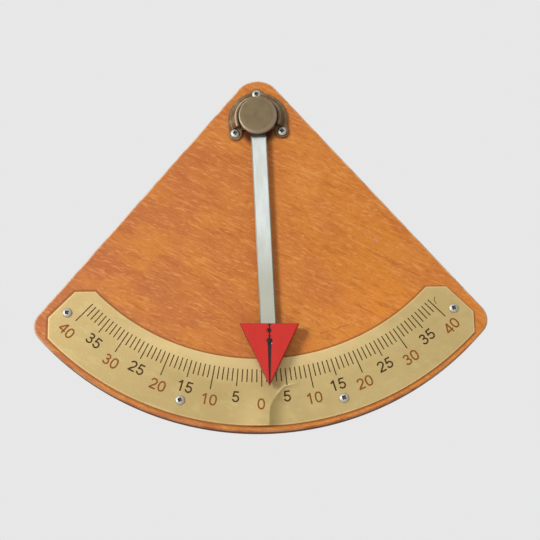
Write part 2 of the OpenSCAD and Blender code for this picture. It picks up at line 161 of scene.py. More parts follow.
def rough_surface(tree, shader, height, depth, strength=1.0):
    """Bumps of that depth in mm."""
    feeds = {"Height": height, "Distance": depth * MM, "Strength": strength}
    bump = add_node(tree, "ShaderNodeBump", feeds)
    tree.links.new(bump.outputs[0], shader.inputs["Normal"])


def scratch(tree, start, end, width):
    """A thin line on the front that fades at both ends, from start to end, x and z in mm."""
    run = Vector(end) - Vector(start)
    place = add_node(tree, "ShaderNodeTexCoord").outputs["Object"]
    feeds = {
        "Vector": place,
        "Location": (start[0] * MM, 0.0, start[1] * MM),
        "Rotation": (0.0, math.atan2(-run.y, run.x), 0.0),
        "Scale": (run.length * MM, 1.0, width * MM),
    }
    local = add_node(tree, "ShaderNodeMapping", feeds, vector_type="TEXTURE").outputs[0]
    parts = add_node(tree, "ShaderNodeSeparateXYZ", {0: local})
    middle = sums(tree, "ABSOLUTE", sums(tree, "SUBTRACT", parts.outputs["X"], 0.5))
    inside = ramp(tree, middle, 0.35, 0.5, 1.0, 0.0)
    across = ramp(tree, sums(tree, "ABSOLUTE", parts.outputs["Z"]), 0.3, 0.6, 1.0, 0.0)
    return sums(tree, "MULTIPLY", inside, across)


def round_stain(tree, centre, radius, soft):
    """A soft round patch in the x-z plane, 1 in its middle."""
    feeds = {
        "Vector": add_node(tree, "ShaderNodeTexCoord").outputs["Object"],
        "Location": (centre[0] * MM, 0.0, centre[1] * MM),
        "Scale": (MM, 1.0, MM),
    }
    local = add_node(tree, "ShaderNodeMapping", feeds, vector_type="TEXTURE").outputs[0]
    flat = {0: local, 1: (1.0, 0.0, 1.0)}
    flat = add_node(tree, "ShaderNodeVectorMath", flat, operation="MULTIPLY").outputs[0]
    far = add_node(tree, "ShaderNodeVectorMath", {0: flat}, operation="LENGTH")
    return ramp(tree, far.outputs["Value"], radius - soft, radius + soft, 1.0, 0.0)


def wood_colour(tree, turn):
    """Stained plywood face: redder on the left, mottled, with streaks, flecks and pores."""
    place = axes(tree)
    golden = ramp(tree, place["X"], -150 * MM, 150 * MM)
    colour = blend(tree, golden, paint(198, 114, 60), paint(221, 135, 40))
    low_right = sums(
        tree, "MULTIPLY",
        ramp(tree, place["X"], 10 * MM, 60 * MM, 0.0, 0.6),
        ramp(tree, place["Z"], (dial_z - 150) * MM, (dial_z - 95) * MM, 1.0, 0.0),
    )
    colour = blend(tree, low_right, colour, paint(240, 148, 52))
    patches = spots(tree, (42, 42, 24), 0.4, 0.66, turn, 2.0, 0.8)
    colour = blend(tree, patches, colour, paint(222, 138, 54))
    cloud = round_stain(tree, (36.0, dial_z - 33.0), 13.0, 9.0)
    cloud = sums(tree, "MULTIPLY", cloud, spots(tree, (7, 20, 5), 0.3, 0.65, turn), 0.6)
    colour = blend(tree, cloud, colour, paint(236, 156, 76))
    return coats(tree, colour, {
        "red patches": ((60, 80, 34), 0.46, 0.7, turn + 0.6, 2.0, 0.5, 0.0, paint(198, 108, 54)),
        "brown bands": ((22, 40, 5.0), 0.5, 0.72, turn, 3.0, 0.5, 0.6, paint(184, 98, 34)),
        "bright streaks": ((17, 40, 1.9), 0.53, 0.72, turn, 2.5, 0.62, 0.8, paint(238, 160, 84)),
        "pale flecks": ((6.5, 20, 1.5), 0.54, 0.72, turn - 0.2, 2.5, 0.6, 0.6, paint(240, 164, 88)),
        "dark flecks": ((5, 20, 1.5), 0.52, 0.72, turn + 0.15, 3.0, 0.4, 0.6, paint(176, 90, 28)),
        "fibres": ((9, 20, 0.45), 0.35, 0.7, turn, 2.0, 0.16, 0.0, paint(168, 86, 26)),
        "pores": ((2.2, 6, 0.24), 0.62, 0.72, turn, 1.0, 0.3, 0.0, paint(116, 56, 16)),
    })


def beside_plate(tree):
    """Distance in metres from the edge of the scale plate."""
    place = axes(tree)
    x = sums(tree, "ABSOLUTE", sums(tree, "SUBTRACT", place["X"], plate_shift * MM))
    z = sums(tree, "SUBTRACT", place["Z"], dial_z * MM)
    squares = sums(tree, "ADD", sums(tree, "MULTIPLY", x, x), sums(tree, "MULTIPLY", z, z))
    middle, half = (plate_inner + plate_outer) / 2 * MM, (plate_outer - plate_inner) / 2 * MM
    ring = sums(tree, "ABSOLUTE", sums(tree, "SUBTRACT", sums(tree, "SQRT", squares), middle))
    slant = sums(tree, "MULTIPLY", sums(tree, "ADD", x, z), math.sqrt(0.5))
    return sums(
        tree, "MAXIMUM",
        sums(tree, "SUBTRACT", slant, plate_cut * MM),
        sums(tree, "SUBTRACT", z, plate_top * MM),
        sums(tree, "SUBTRACT", x, plate_side * MM),
        sums(tree, "SUBTRACT", ring, half),
    )


def varnished_wood():
    """Front and back faces, under a thin coat of varnish; only the front is marked."""
    finish, tree, shader = new_finish(
        "varnished_wood", paint(205, 125, 50), 0.42,
        Specular_IOR_Level=0.3, Coat_Weight=0.06, Coat_Roughness=0.15,
    )
    unmarked = colour = wood_colour(tree, grain_slope)
    front = ramp(tree, axes(tree)["Y"], -12 * MM, -10 * MM, 1.0, 0.0)
    red_line = scratch(tree, (45.5, dial_z - 161.6), (69.0, dial_z - 154.2), 1.6)
    red_line = sums(tree, "MULTIPLY", red_line, spots(tree, (2.2, 2.2, 2.2), 0.4, 0.62), 0.7)
    colour = blend(tree, red_line, colour, paint(184, 92, 46))
    pale_line = scratch(tree, (47.0, dial_z - 160.0), (86.0, dial_z - 147.8), 1.0)
    pale_line = sums(tree, "MULTIPLY", pale_line, spots(tree, (4, 4, 4), 0.35, 0.6), 0.7)
    colour = blend(tree, pale_line, colour, paint(236, 156, 98))
    nick = scratch(tree, (91.8, dial_z - 83.8), (95.2, dial_z - 86.4), 1.8)
    colour = blend(tree, nick, colour, paint(208, 142, 116))
    colour = blend(tree, front, unmarked, colour)
    # Partly dust, partly painted shade: the front is darkened in a thin line along the plate's
    # edge.
    dust = ramp(tree, beside_plate(tree), 0.4 * MM, 2.2 * MM, 0.8, 0.0)
    colour = blend(tree, sums(tree, "MULTIPLY", dust, front), colour, paint(148, 88, 30))
    # Painted shade: a dark patch on the front round the bottom of the hub, under the housing and
    # cap.
    painted_shade_under_hub = round_stain(tree, (0.0, pivot_z - 7.5), 13.5, 3.0)
    colour = blend(tree, sums(tree, "MULTIPLY", painted_shade_under_hub, front, 0.95), colour, paint(76, 32, 16))
    tree.links.new(colour, shader.inputs["Base Color"])
    sheen = spots(tree, (30, 30, 18), 0.3, 0.7, grain_slope)
    uneven_gloss(tree, shader, sheen, 0.36, 0.5)
    rough_surface(tree, shader, spots(tree, (6, 6, 0.5), 0.3, 0.7, grain_slope), 0.03, 0.5)
    return finish


def worn_wood():
    """Rounded edges, where handling has rubbed the stain pale."""
    finish, tree, shader = new_finish(
        "worn_wood", paint(216, 150, 104), 0.5, Specular_IOR_Level=0.3
    )
    high_up = ramp(tree, axes(tree)["Z"], -150 * MM, -70 * MM)
    stained = blend(tree, high_up, paint(168, 98, 52), paint(210, 142, 94))
    bare = blend(tree, high_up, paint(192, 132, 86), paint(234, 196, 164))
    colour = coats(tree, stained, {
        "rubbed": ((11, 11, 11), 0.34, 0.6, 0.0, 4.0, 1.0, 0.0, bare),
        "dents": ((1.4, 2.5, 1.4), 0.62, 0.74, 0.0, 2.0, 0.6, 0.0, paint(150, 84, 44)),
    })
    tree.links.new(colour, shader.inputs["Base Color"])
    rough_surface(tree, shader, spots(tree, (1.5, 1.5, 1.5), 0.3, 0.7), 0.12, 0.6)
    return finish


def sawn_ply():
    """Sawn edge of the board: glued plies, dark where the stain has soaked in."""
    finish, tree, shader = new_finish(
        "sawn_ply", paint(100, 56, 26), 0.75, Specular_IOR_Level=0.12
    )
    plies = sums(tree, "FRACT", sums(tree, "MULTIPLY", axes(tree)["Y"], -1 / (ply_thickness * MM)))
    wobble = spots(tree, (12, 0.6, 12), 0.3, 0.7, 0.0, 3.0, 0.25)
    layer = ramp(tree, sums(tree, "ADD", plies, wobble), 0.45, 0.62)
    colour = blend(tree, layer, paint(116, 66, 30), paint(84, 44, 20))
    glue = ramp(tree, sums(tree, "ABSOLUTE", sums(tree, "SUBTRACT", plies, 0.5)), 0.42, 0.48)
    colour = blend(tree, glue, colour, paint(58, 31, 17))
    ends = spots(tree, (1.3, 5, 1.3), 0.45, 0.7, 0.0, 4.0, 0.5)
    colour = blend(tree, ends, colour, paint(140, 84, 42))
    tree.links.new(colour, shader.inputs["Base Color"])
    rough_surface(tree, shader, spots(tree, (0.9, 4, 0.9), 0.3, 0.7), 0.15, 0.7)
    return finish


def routed_wood():
    """Bare wood in the pockets at the back."""
    finish, tree, shader = new_finish("routed_wood", paint(190, 142, 92), 0.75)
    fibres = spots(tree, (10, 3, 0.7), 0.35, 0.7, grain_slope)
    colour = blend(tree, fibres, paint(196, 148, 98), paint(160, 110, 66))
    tree.links.new(colour, shader.inputs["Base Color"])
    rough_surface(tree, shader, fibres, 0.1, 0.6)
    return finish


def arc_points(centre, radius, start, end, steps):
    """Points along an arc, both ends included, by angles from +X in radians."""
    return [
        (
            centre[0] + radius * math.cos(start + (end - start) * i / steps),
            centre[1] + radius * math.sin(start + (end - start) * i / steps),
        )
        for i in range(steps + 1)
    ]


def board_outline(inset):
    """Outline of the board, x and z, moved inwards by inset; every corner is an arc."""
    slant = (math.sin(board_half_angle), -math.cos(board_half_angle))
    inward = (-math.cos(board_half_angle), -math.sin(board_half_angle))
    start = (corner_round * inward[0], apex_rise + corner_round * inward[1])
    reach = board_radius - corner_round
    along = start[0] * slant[0] + start[1] * slant[1]
    run = -along + math.sqrt(along**2 - start[0] ** 2 - start[1] ** 2 + reach**2)
    corner = (start[0] + run * slant[0], start[1] + run * slant[1])
    corner_end = math.atan2(corner[1], corner[0])
    apex = (0.0, apex_rise - apex_round / math.sin(board_half_angle))
    right = arc_points(apex, apex_round - inset, math.pi / 2, board_half_angle, 14)
    right += arc_points(corner, corner_round - inset, board_half_angle, corner_end, 22)
    right += arc_points((0, 0), board_radius - inset, corner_end, -math.pi / 2, 60)[1:]
    left = [(-x, z) for x, z in reversed(right[1:-1])]
    c, s = math.cos(board_turn), math.sin(board_turn)
    return [(x * c - z * s, dial_z + x * s + z * c) for x, z in right + left]


def wall(bm, low, high, slot):
    """A strip of faces between two closed rings of points."""
    for i in range(len(low)):
        j = (i + 1) % len(low)
        bm.faces.new((low[i], low[j], high[j], high[i])).material_index = slot


def stack_of_loops(bm, layers, slots):
    """Joins loops of (x, z) points, each at its own y, into a closed solid.

    slots gives the material of the first end, of each wall and of the last end.
    """
    rings = [[bm.verts.new((x, y, z)) for x, z in loop] for loop, y in layers]
    bm.faces.new(rings[0]).material_index = slots[0]
    for low, high, slot in zip(rings, rings[1:], slots[1:]):
        wall(bm, low, high, slot)
    bm.faces.new(list(reversed(rings[-1]))).material_index = slots[-1]


def crisp_edges(bm):
    """Smooth shading, except over sharp edges and round flat front or back faces."""
    sharp, level = 35.0, 0.5
    for face in bm.faces:
        face.smooth = True
    for edge in bm.edges:
        if len(edge.link_faces) != 2:
            continue
        flat = [abs(f.normal.y) > 0.99999 for f in edge.link_faces]
        turn = math.degrees(edge.calc_face_angle(0.0))
        edge.smooth = turn < sharp and (flat[0] == flat[1] or turn < level)


def put_in_scene(name, data):
    """A new object of the scene."""
    thing = bpy.data.objects.new(name, data)
    bpy.context.scene.collection.objects.link(thing)
    return thing


def new_piece(name, bm, finishes, scale=MM, closed=True):
    """Makes the mesh of a piece from bm, in metres, with its normals outwards."""
    if closed:
        bmesh.ops.recalc_face_normals(bm, faces=bm.faces)
    bm.normal_update()
    crisp_edges(bm)
    mesh = bpy.data.meshes.new(name)
    bm.to_mesh(mesh)
    bm.free()
    if scale != 1.0:
        mesh.transform(Matrix.Scale(scale, 4))
    for finish in finishes:
        mesh.materials.append(finish)
    return put_in_scene(name, mesh)


def baked(piece):
    """Turns a piece's modifiers into plain mesh, shades it again and drops empty slots."""
    bpy.context.view_layer.update()
    graph = bpy.context.evaluated_depsgraph_get()
    mesh = bpy.data.meshes.new_from_object(piece.evaluated_get(graph))
    piece.modifiers.clear()
    old, piece.data = piece.data, mesh
    mesh.name = old.name
    bpy.data.meshes.remove(old)
    finishes = [m for m in mesh.materials if m]
    moved = [finishes.index(m) if m else 0 for m in mesh.materials] or [0]
    bm = bmesh.new()
    bm.from_mesh(mesh)
    for face in bm.faces:
        face.material_index = moved[face.material_index]
    mesh.materials.clear()
    for finish in finishes:
        mesh.materials.append(finish)
    bmesh.ops.remove_doubles(bm, verts=bm.verts, dist=1e-7)
    bm.normal_update()
    crisp_edges(bm)
    bm.to_mesh(mesh)
    bm.free()
    return piece


def cut_away(piece, cutter):
    """Cuts the cutter's shape out of the piece, leaving the cutter's finish on the cut."""
    saw = piece.modifiers.new("cut", "BOOLEAN")
    saw.operation = "DIFFERENCE"
    saw.solver = "EXACT"
    saw.use_self = True
    saw.material_mode = "TRANSFER"
    saw.object = cutter
    baked(piece)
    bpy.data.objects.remove(cutter)
    return piece


def add_block(bm, low, high):
    """A rectangular block between two corners."""
    corners = [(low[0], low[2]), (high[0], low[2]), (high[0], high[2]), (low[0], high[2])]
    stack_of_loops(bm, [(corners, low[1]), (corners, high[1])], [0, 0, 0])


def turned(bm, profile, centre=(0.0, 0.0), base=0.0, segments=64):
    """A solid turned on a lathe about an axis along Y; profile lists (radius, height)."""
    steps = [2 * math.pi * i / segments for i in range(segments)]
    rings = []
    for radius, height in profile:
        rings.append([
            bm.verts.new((
                centre[0] + radius * math.cos(a), base - height, centre[1] + radius * math.sin(a)
            ))
            for a in (steps if radius else steps[:1])
        ])
    for low, high in zip(rings, rings[1:]):
        for i in range(segments):
            j = (i + 1) % segments
            around = ((low, i), (low, j), (high, j), (high, i))
            corners = [ring[k % len(ring)] for ring, k in around]
            corners = [c for n, c in enumerate(corners) if c not in corners[:n]]
            if len(corners) > 2:
                bm.faces.new(corners)


hanger_places = (-60.0, 60.0)
hanger_width = 16.0
hanger_height = 44.0
hanger_middle = 5.0
hanger_thickness = 1.5
key_width = 11.0
key_bottom = -5.5
key_top = 16.5
key_depth = 6.5
key_overlap = 0.5
nut_bore_radius = 8.5
nut_bore_depth = 7.0
spindle_hole = 3.2
overrun = 2.0

rounding = [
    (edge_round * (1 - math.cos(a)), edge_round * (1 - math.sin(a)))
    for a in map(math.radians, (0, 30, 60, 90))
]
back_layers = [(board_outline(inset), -rise) for inset, rise in reversed(rounding)]
front_layers = [(board_outline(inset), board_front + rise) for inset, rise in rounding]
bm = bmesh.new()
stack_of_loops(bm, back_layers + front_layers, [0, 2, 2, 2, 1, 2, 2, 2, 0])
board_finishes = [varnished_wood(), sawn_ply(), worn_wood()]
bare_wood = routed_wood()
board = new_piece("backboard_wood", bm, board_finishes)

bm = bmesh.new()
for middle in hanger_places:
    half, low = hanger_width / 2, hanger_middle - hanger_height / 2
    corner = (middle + half, overrun, low + hanger_height)
    add_block(bm, (middle - half, -hanger_thickness, low), corner)
    half, start = key_width / 2, key_overlap - hanger_thickness
    add_block(bm, (middle - half, -key_depth, key_bottom), (middle + half, start, key_top))
cut_away(board, new_piece("pockets", bm, [bare_wood]))
for name, radius, start, end, segments in (
    ("nut_bore", nut_bore_radius, -overrun, nut_bore_depth, 64),
    ("spindle_hole", spindle_hole, nut_bore_depth - overrun, overrun - board_front, 32),
):
    bm = bmesh.new()
    profile = [(0, start), (radius, start), (radius, end), (0, end)]
    turned(bm, profile, (0, pivot_z), segments=segments)
    cut_away(board, new_piece(name, bm, [bare_wood]))
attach(board, "board")
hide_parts("backboard")

# --- Scale plate -------------------------------------------------------------
# A thin brass-coloured sheet cut to an arc with clipped corners and screwed on
# near the bottom of the board. It has taken a knock near zero, which left a
# crease from the pointer's tip down to the lower edge.
plate_front = -15.0
plate_back = -14.0
plate_turn = math.radians(0.18)
rim_width = 1.2
rim_slope = 0.22
crease = [
    (5.6, -235.0), (5.8, -225.0), (6.5, -218.7), (8.5, -214.1), (11.3, -210.3),
    (14.0, -206.8), (17.6, -203.3), (23.8, -201.8), (31.0, -200.4),
]
crease_height = 2.4
ridge_height = 0.45
left_reach = 20.0
slope_reach = 13.0
fold_rows = (0.5, 1.1, 1.9, 3.0)
row_room = 0.4
crest_spacing = 0.7
crest_room = 1.7
edge_room = 2.0
mesh_rings = 34
mesh_step = 0.5
mesh_reach = 98
fine_from, fine_to = -10, 14
fine_parts = 4


def turned_point(x, z, angle):
    """A point about the dial centre turned anticlockwise, in the scene's x and z."""
    c, s = math.cos(angle), math.sin(angle)
    return (plate_shift + x * c - z * s, dial_z + x * s + z * c)


def dial_point(radius, angle):
    """x and z of a point about the dial centre; angle 0 points down, positive to the right."""
    return turned_point(radius * math.sin(angle), -radius * math.cos(angle), 0.0)


def nearest_on_crease(x, z):
    """Distance from the crease, positive on its right, and the share of it below that place."""
    best = (1e9, 0.0)
    for i, (start, end) in enumerate(zip(crease, crease[1:])):
        run = Vector(end) - Vector(start)
        local = Vector((x - plate_shift, z - dial_z)) - Vector(start)
        share = min(max(local.dot(run) / run.length_squared, 0.0), 1.0)
        away = (local - share * run).length
        if away < abs(best[0]):
            side = 1.0 if run.x * local.y - run.y * local.x < 0 else -1.0
            best = (side * away, (i + share) / (len(crease) - 1))
    return best


def sharpness(along):
    """0 in the lower part of the crease and 1 in its upper part, where the fold is narrow."""
    return min(max((along - 0.42) / 0.25, 0.0), 1.0)


def dent(x, z):
    """How far the knock has pushed the plate forwards at x and z."""
    away, along = nearest_on_crease(x, z)
    sharp = sharpness(along)
    height = crease_height * (1 - along) ** 0.75
    ridge = ridge_height * sharp * (1 - along) ** 0.5
    if away < 0:
        return height * math.exp(-((away / left_reach) ** 2)) + ridge * math.exp(away / 0.8)
    reach = slope_reach * (1 - 0.6 * sharp)
    return height * max(1 - away / reach, 0.0) ** 2 + ridge * math.exp(-away / 1.2)


def fold_tone(x, z):
    """How much painted shade (below 0) or painted highlight (above 0) the fold gets at x and z."""
    away, along = nearest_on_crease(x, z)
    sharp = sharpness(along)
    end = min((1 - along) / 0.2, 1.0)
    if away < 0:
        return end * sharp * math.exp(-(((away + 0.9) / 0.8) ** 2))
    reach = slope_reach * (1 - 0.84 * sharp)
    return -end * (1 - 0.2 * sharp) * max(1 - away / reach, 0.0)


def inset_loop(loop, distance):
    """A closed loop of points, listed anticlockwise, moved inwards."""
    moved = []
    for i, point in enumerate(loop):
        here = Vector(point)
        before = (here - Vector(loop[i - 1])).normalized()
        after = (Vector(loop[(i + 1) % len(loop)]) - here).normalized()
        normals = Vector((-before.y, before.x)), Vector((-after.y, after.x))
        total = normals[0] + normals[1]
        shift = total * (distance / max(1 + normals[0].dot(normals[1]), 0.2))
        moved.append((here.x + shift.x, here.y + shift.y))
    return moved


def plate_loop():
    """Edge of the plate, anticlockwise from the front, with its ends cut square and aslant."""
    steps = 200
    outer_end = math.asin(plate_side / plate_outer)
    inner_end = math.acos(-plate_top / plate_inner)
    low, high = -math.pi / 2 - outer_end, -math.pi / 2 + outer_end
    points = arc_points((0, 0), plate_outer, low, high, steps)
    slant = plate_cut * math.sqrt(2)
    points += [(plate_side, slant - plate_side), (slant - plate_top, plate_top)]
    low, high = -math.pi / 2 - inner_end, -math.pi / 2 + inner_end
    points += arc_points((0, 0), plate_inner, high, low, steps)
    points += [(plate_top - slant, plate_top), (-plate_side, slant - plate_side)]
    return [turned_point(x, z, plate_turn) for x, z in points]


def inside_plate(x, z):
    """Distance in mm from the nearest edge of the plate, as if it had not been turned."""
    radius = math.hypot(x, z)
    slant = plate_cut - (abs(x) + z) * math.sqrt(0.5)
    room = (radius - plate_inner, plate_outer - radius, plate_top - z, plate_side - abs(x), slant)
    return min(room)


def clear_spot(x, z, room):
    """The point in the scene, where it is inside the plate and that far from the crease."""
    spot = turned_point(x, z, 0.0)
    clear = inside_plate(x, z) > edge_room and abs(nearest_on_crease(*spot)[0]) > room
    return [spot] if clear else []


def plate_metal(name, colour, worn, roughness):
    """Lacquered brass-coloured sheet with faint patches, smears and specks, and painted shade and
    light.
    """
    finish, tree, shader = new_finish(name, colour, roughness, 0.35)
    patches = spots(tree, (38, 38, 30), 0.35, 0.65, 0.0, 2.5, 0.6)
    shade = blend(tree, patches, colour, worn)
    place = axes(tree)
    # Painted shade: the lower left of the plate is darkened.
    painted_shade_low_left = sums(
        tree, "MULTIPLY",
        ramp(tree, place["X"], -30 * MM, 50 * MM, 0.4, 0.0),
        ramp(tree, place["Z"], (dial_z - 215) * MM, (dial_z - 130) * MM, 1.0, 0.2),
    )
    shade = blend(tree, painted_shade_low_left, shade, paint(166, 140, 84))
    shade = coats(tree, shade, {
        "smears": ((14, 14, 7), 0.5, 0.72, 0.5, 3.0, 0.35, 0.0, paint(208, 190, 130)),
        "dull patches": ((9, 9, 5), 0.52, 0.75, -0.4, 3.0, 0.3, 0.0, paint(184, 158, 100)),
        "specks": ((0.8, 0.8, 0.8), 0.7, 0.78, 0.0, 1.0, 0.35, 0.0, paint(140, 116, 72)),
    })
    # Painted light: a lighter band along the inner edge, strongest near the middle.
    painted_light_inner_side = round_stain(tree, (plate_shift, dial_z), plate_inner + 12.0, 12.0)
    ends = ramp(tree, place["Z"], (dial_z - 175) * MM, (dial_z - 145) * MM, 0.45, 0.08)
    glow = sums(tree, "MULTIPLY", painted_light_inner_side, ends)
    shade = blend(tree, glow, shade, paint(244, 216, 154))
    # Painted shade on the right of the crease and a painted highlight along its upper left, read
    # from the fold attribute.
    tone = add_node(tree, "ShaderNodeAttribute", attribute_name="fold").outputs["Fac"]
    shade = blend(tree, ramp(tree, tone, -1.0, 0.0, 0.43, 0.0), shade, paint(112, 92, 46))
    shade = blend(tree, ramp(tree, tone, 0.1, 1.0, 0.0, 0.5), shade, paint(250, 226, 170))
    tree.links.new(shade, shader.inputs["Base Color"])
    sheen = spots(tree, (20, 20, 12), 0.3, 0.7, 0.3, 4.0)
    uneven_gloss(tree, shader, sheen, roughness - 0.07, roughness + 0.07)
    rough_surface(tree, shader, spots(tree, (3, 3, 3), 0.3, 0.7, 0.0, 4.0), 0.03, 0.5)
    return finish


plate_face = plate_metal("plate_face", paint(200, 175, 116), paint(193, 167, 108), 0.46)
plate_rim = plate_metal("plate_rim", paint(222, 186, 128), paint(212, 176, 116), 0.46)
# The edges and back take a darker copy of the plate's metal: painted shade.
plate_wall = plate_metal("plate_wall", paint(150, 112, 62), paint(128, 92, 50), 0.5)

edge_loop = plate_loop()
rim_loop = inset_loop(edge_loop, rim_slope)
face_loop = inset_loop(edge_loop, rim_width)
crest_line, inner_points = [], []
for start, end in zip(crease, crease[1:]):
    run = Vector(end) - Vector(start)
    sideways = Vector((run.y, -run.x)).normalized()
    parts = max(2, round(run.length / crest_spacing))
    for i in range(parts):
        spot = Vector(start) + run * (i / parts)
        if inside_plate(*spot) > crest_room:
            crest_line.append(turned_point(*spot, 0.0))
        for row in fold_rows:
            for side in (-1, 1):
                inner_points += clear_spot(*(spot + side * row * sideways), row_room)
for ring in range(1, mesh_rings):
    radius = plate_inner + (plate_outer - plate_inner) * ring / mesh_rings
    for step in range(-mesh_reach, mesh_reach + 1):
        fine = fine_from < step * mesh_step < fine_to
        for part in range(fine_parts if fine else 1):
            angle = math.radians((step + part / fine_parts) * mesh_step)
            x, z = radius * math.sin(angle), -radius * math.cos(angle)
            inner_points += clear_spot(x, z, fold_rows[-1] + row_room)
flat_points = [Vector(p) for p in face_loop + crest_line + inner_points]
rim_count = len(face_loop)
sides = [(i, (i + 1) % rim_count) for i in range(rim_count)]
sides += [(rim_count + i, rim_count + i + 1) for i in range(len(crest_line) - 1)]
made = delaunay_2d_cdt(flat_points, sides, [], 1, 1e-6)
face_points, triangles, sources = made[0], made[2], made[3]


def plate_side_points(y):
    """All the points of the front or back face, and those on its rim in the loop's order."""
    points = [bm.verts.new((p.x, y - dent(p.x, p.y), p.y)) for p in face_points]
    rim = [None] * rim_count
    for point, origins in zip(points, sources):
        for source in origins:
            if source < rim_count:
                rim[source] = point
    return points, rim


bm = bmesh.new()
rim_rows = [
    (edge_loop, plate_back), (edge_loop, plate_front + 0.3), (rim_loop, plate_front + 0.05),
]
plate_rings = [
    [bm.verts.new((x, y - dent(x, z), z)) for x, z in loop] for loop, y in rim_rows
]
front_points, front_rim = plate_side_points(plate_front)
plate_rings.append(front_rim)
for low, high, slot in zip(plate_rings, plate_rings[1:], (2, 1, 1)):
    wall(bm, low, high, slot)
for triangle in triangles:
    bm.faces.new([front_points[i] for i in triangle])
back_points, back_rim = plate_side_points(plate_back)
for triangle in triangles:
    bm.faces.new([back_points[i] for i in reversed(triangle)]).material_index = 2
wall(bm, back_rim, plate_rings[0], 2)
plate = new_piece("scale_plate_sheet", bm, [plate_face, plate_rim, plate_wall])
fold_light_values = plate.data.attributes.new("fold", "FLOAT", "POINT")
for vertex, tone in zip(plate.data.vertices, fold_light_values.data):
    tone.value = fold_tone(vertex.co.x / MM, vertex.co.z / MM)
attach(plate, "board")
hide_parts("scale_plate")

# --- Printed scale -----------------------------------------------------------
# Eighty-one lines and seventeen numerals, printed in thin ink on the plate.
# The lines and the odd fives are black and the tens are red; the numbers run
# from 0 to 40 on both sides and stand with their tops towards the pivot.
ticks_each_side = 40
tick_step = math.radians(1.11)
numeral_step = math.radians(1.099)
tick_inner = 189.3
tick_outer = 199.4
five_outer = 203.0
ten_outer = 208.1
tick_width = 0.82
ink_thickness = 0.05
ink_lift = 0.03
ink_layer = 0.012
ink_depths = (plate_front - ink_lift, plate_front - ink_lift - ink_thickness)
digit_height = 8.7
digit_advance = 0.775
stroke = 0.142
fives_radius = 210.5
tens_radius = 216.0
set_lower = {0: 0.5, 5: 0.9, 40: 1.2}
set_left = 0.6
last_set_left = 1.6
ink_dark = paint(66, 42, 8)
ink_red = paint(140, 77, 25)


def ink(name, colour, thin):
    """Printing ink, thinner in places."""
    finish, tree, shader = new_finish(name, colour, 0.6, Specular_IOR_Level=0.2)
    patchy = spots(tree, (1.2, 1.2, 1.2), 0.45, 0.75, 0.0, 3.0, 0.5)
    tree.links.new(blend(tree, patchy, colour, thin), shader.inputs["Base Color"])
    rough_surface(tree, shader, spots(tree, (0.5, 0.5, 0.5), 0.3, 0.7), 0.01)
    return finish


def new_shape_tree(name, inputs):
    """A Geometry Nodes tree with named inputs; returns the tree and its input and output nodes."""
    tree = bpy.data.node_groups.new(name, "GeometryNodeTree")
    for label, kind in inputs:
        tree.interface.new_socket(name=label, in_out="INPUT", socket_type="NodeSocket" + kind)
    tree.interface.new_socket(name="Geometry", in_out="OUTPUT", socket_type="NodeSocketGeometry")
    return tree, tree.nodes.new("NodeGroupInput"), tree.nodes.new("NodeGroupOutput")


def grown(name, tree, values, start=None):
    """Runs a tree once on the start mesh and keeps what it makes as a plain mesh."""
    piece = put_in_scene(name, start or bpy.data.meshes.new(name))
    modifier = piece.modifiers.new("shape", "NODES")
    modifier.node_group = tree
    for item in tree.interface.items_tree:
        if item.name in values:
            modifier[item.identifier] = values[item.name]
    return baked(piece)


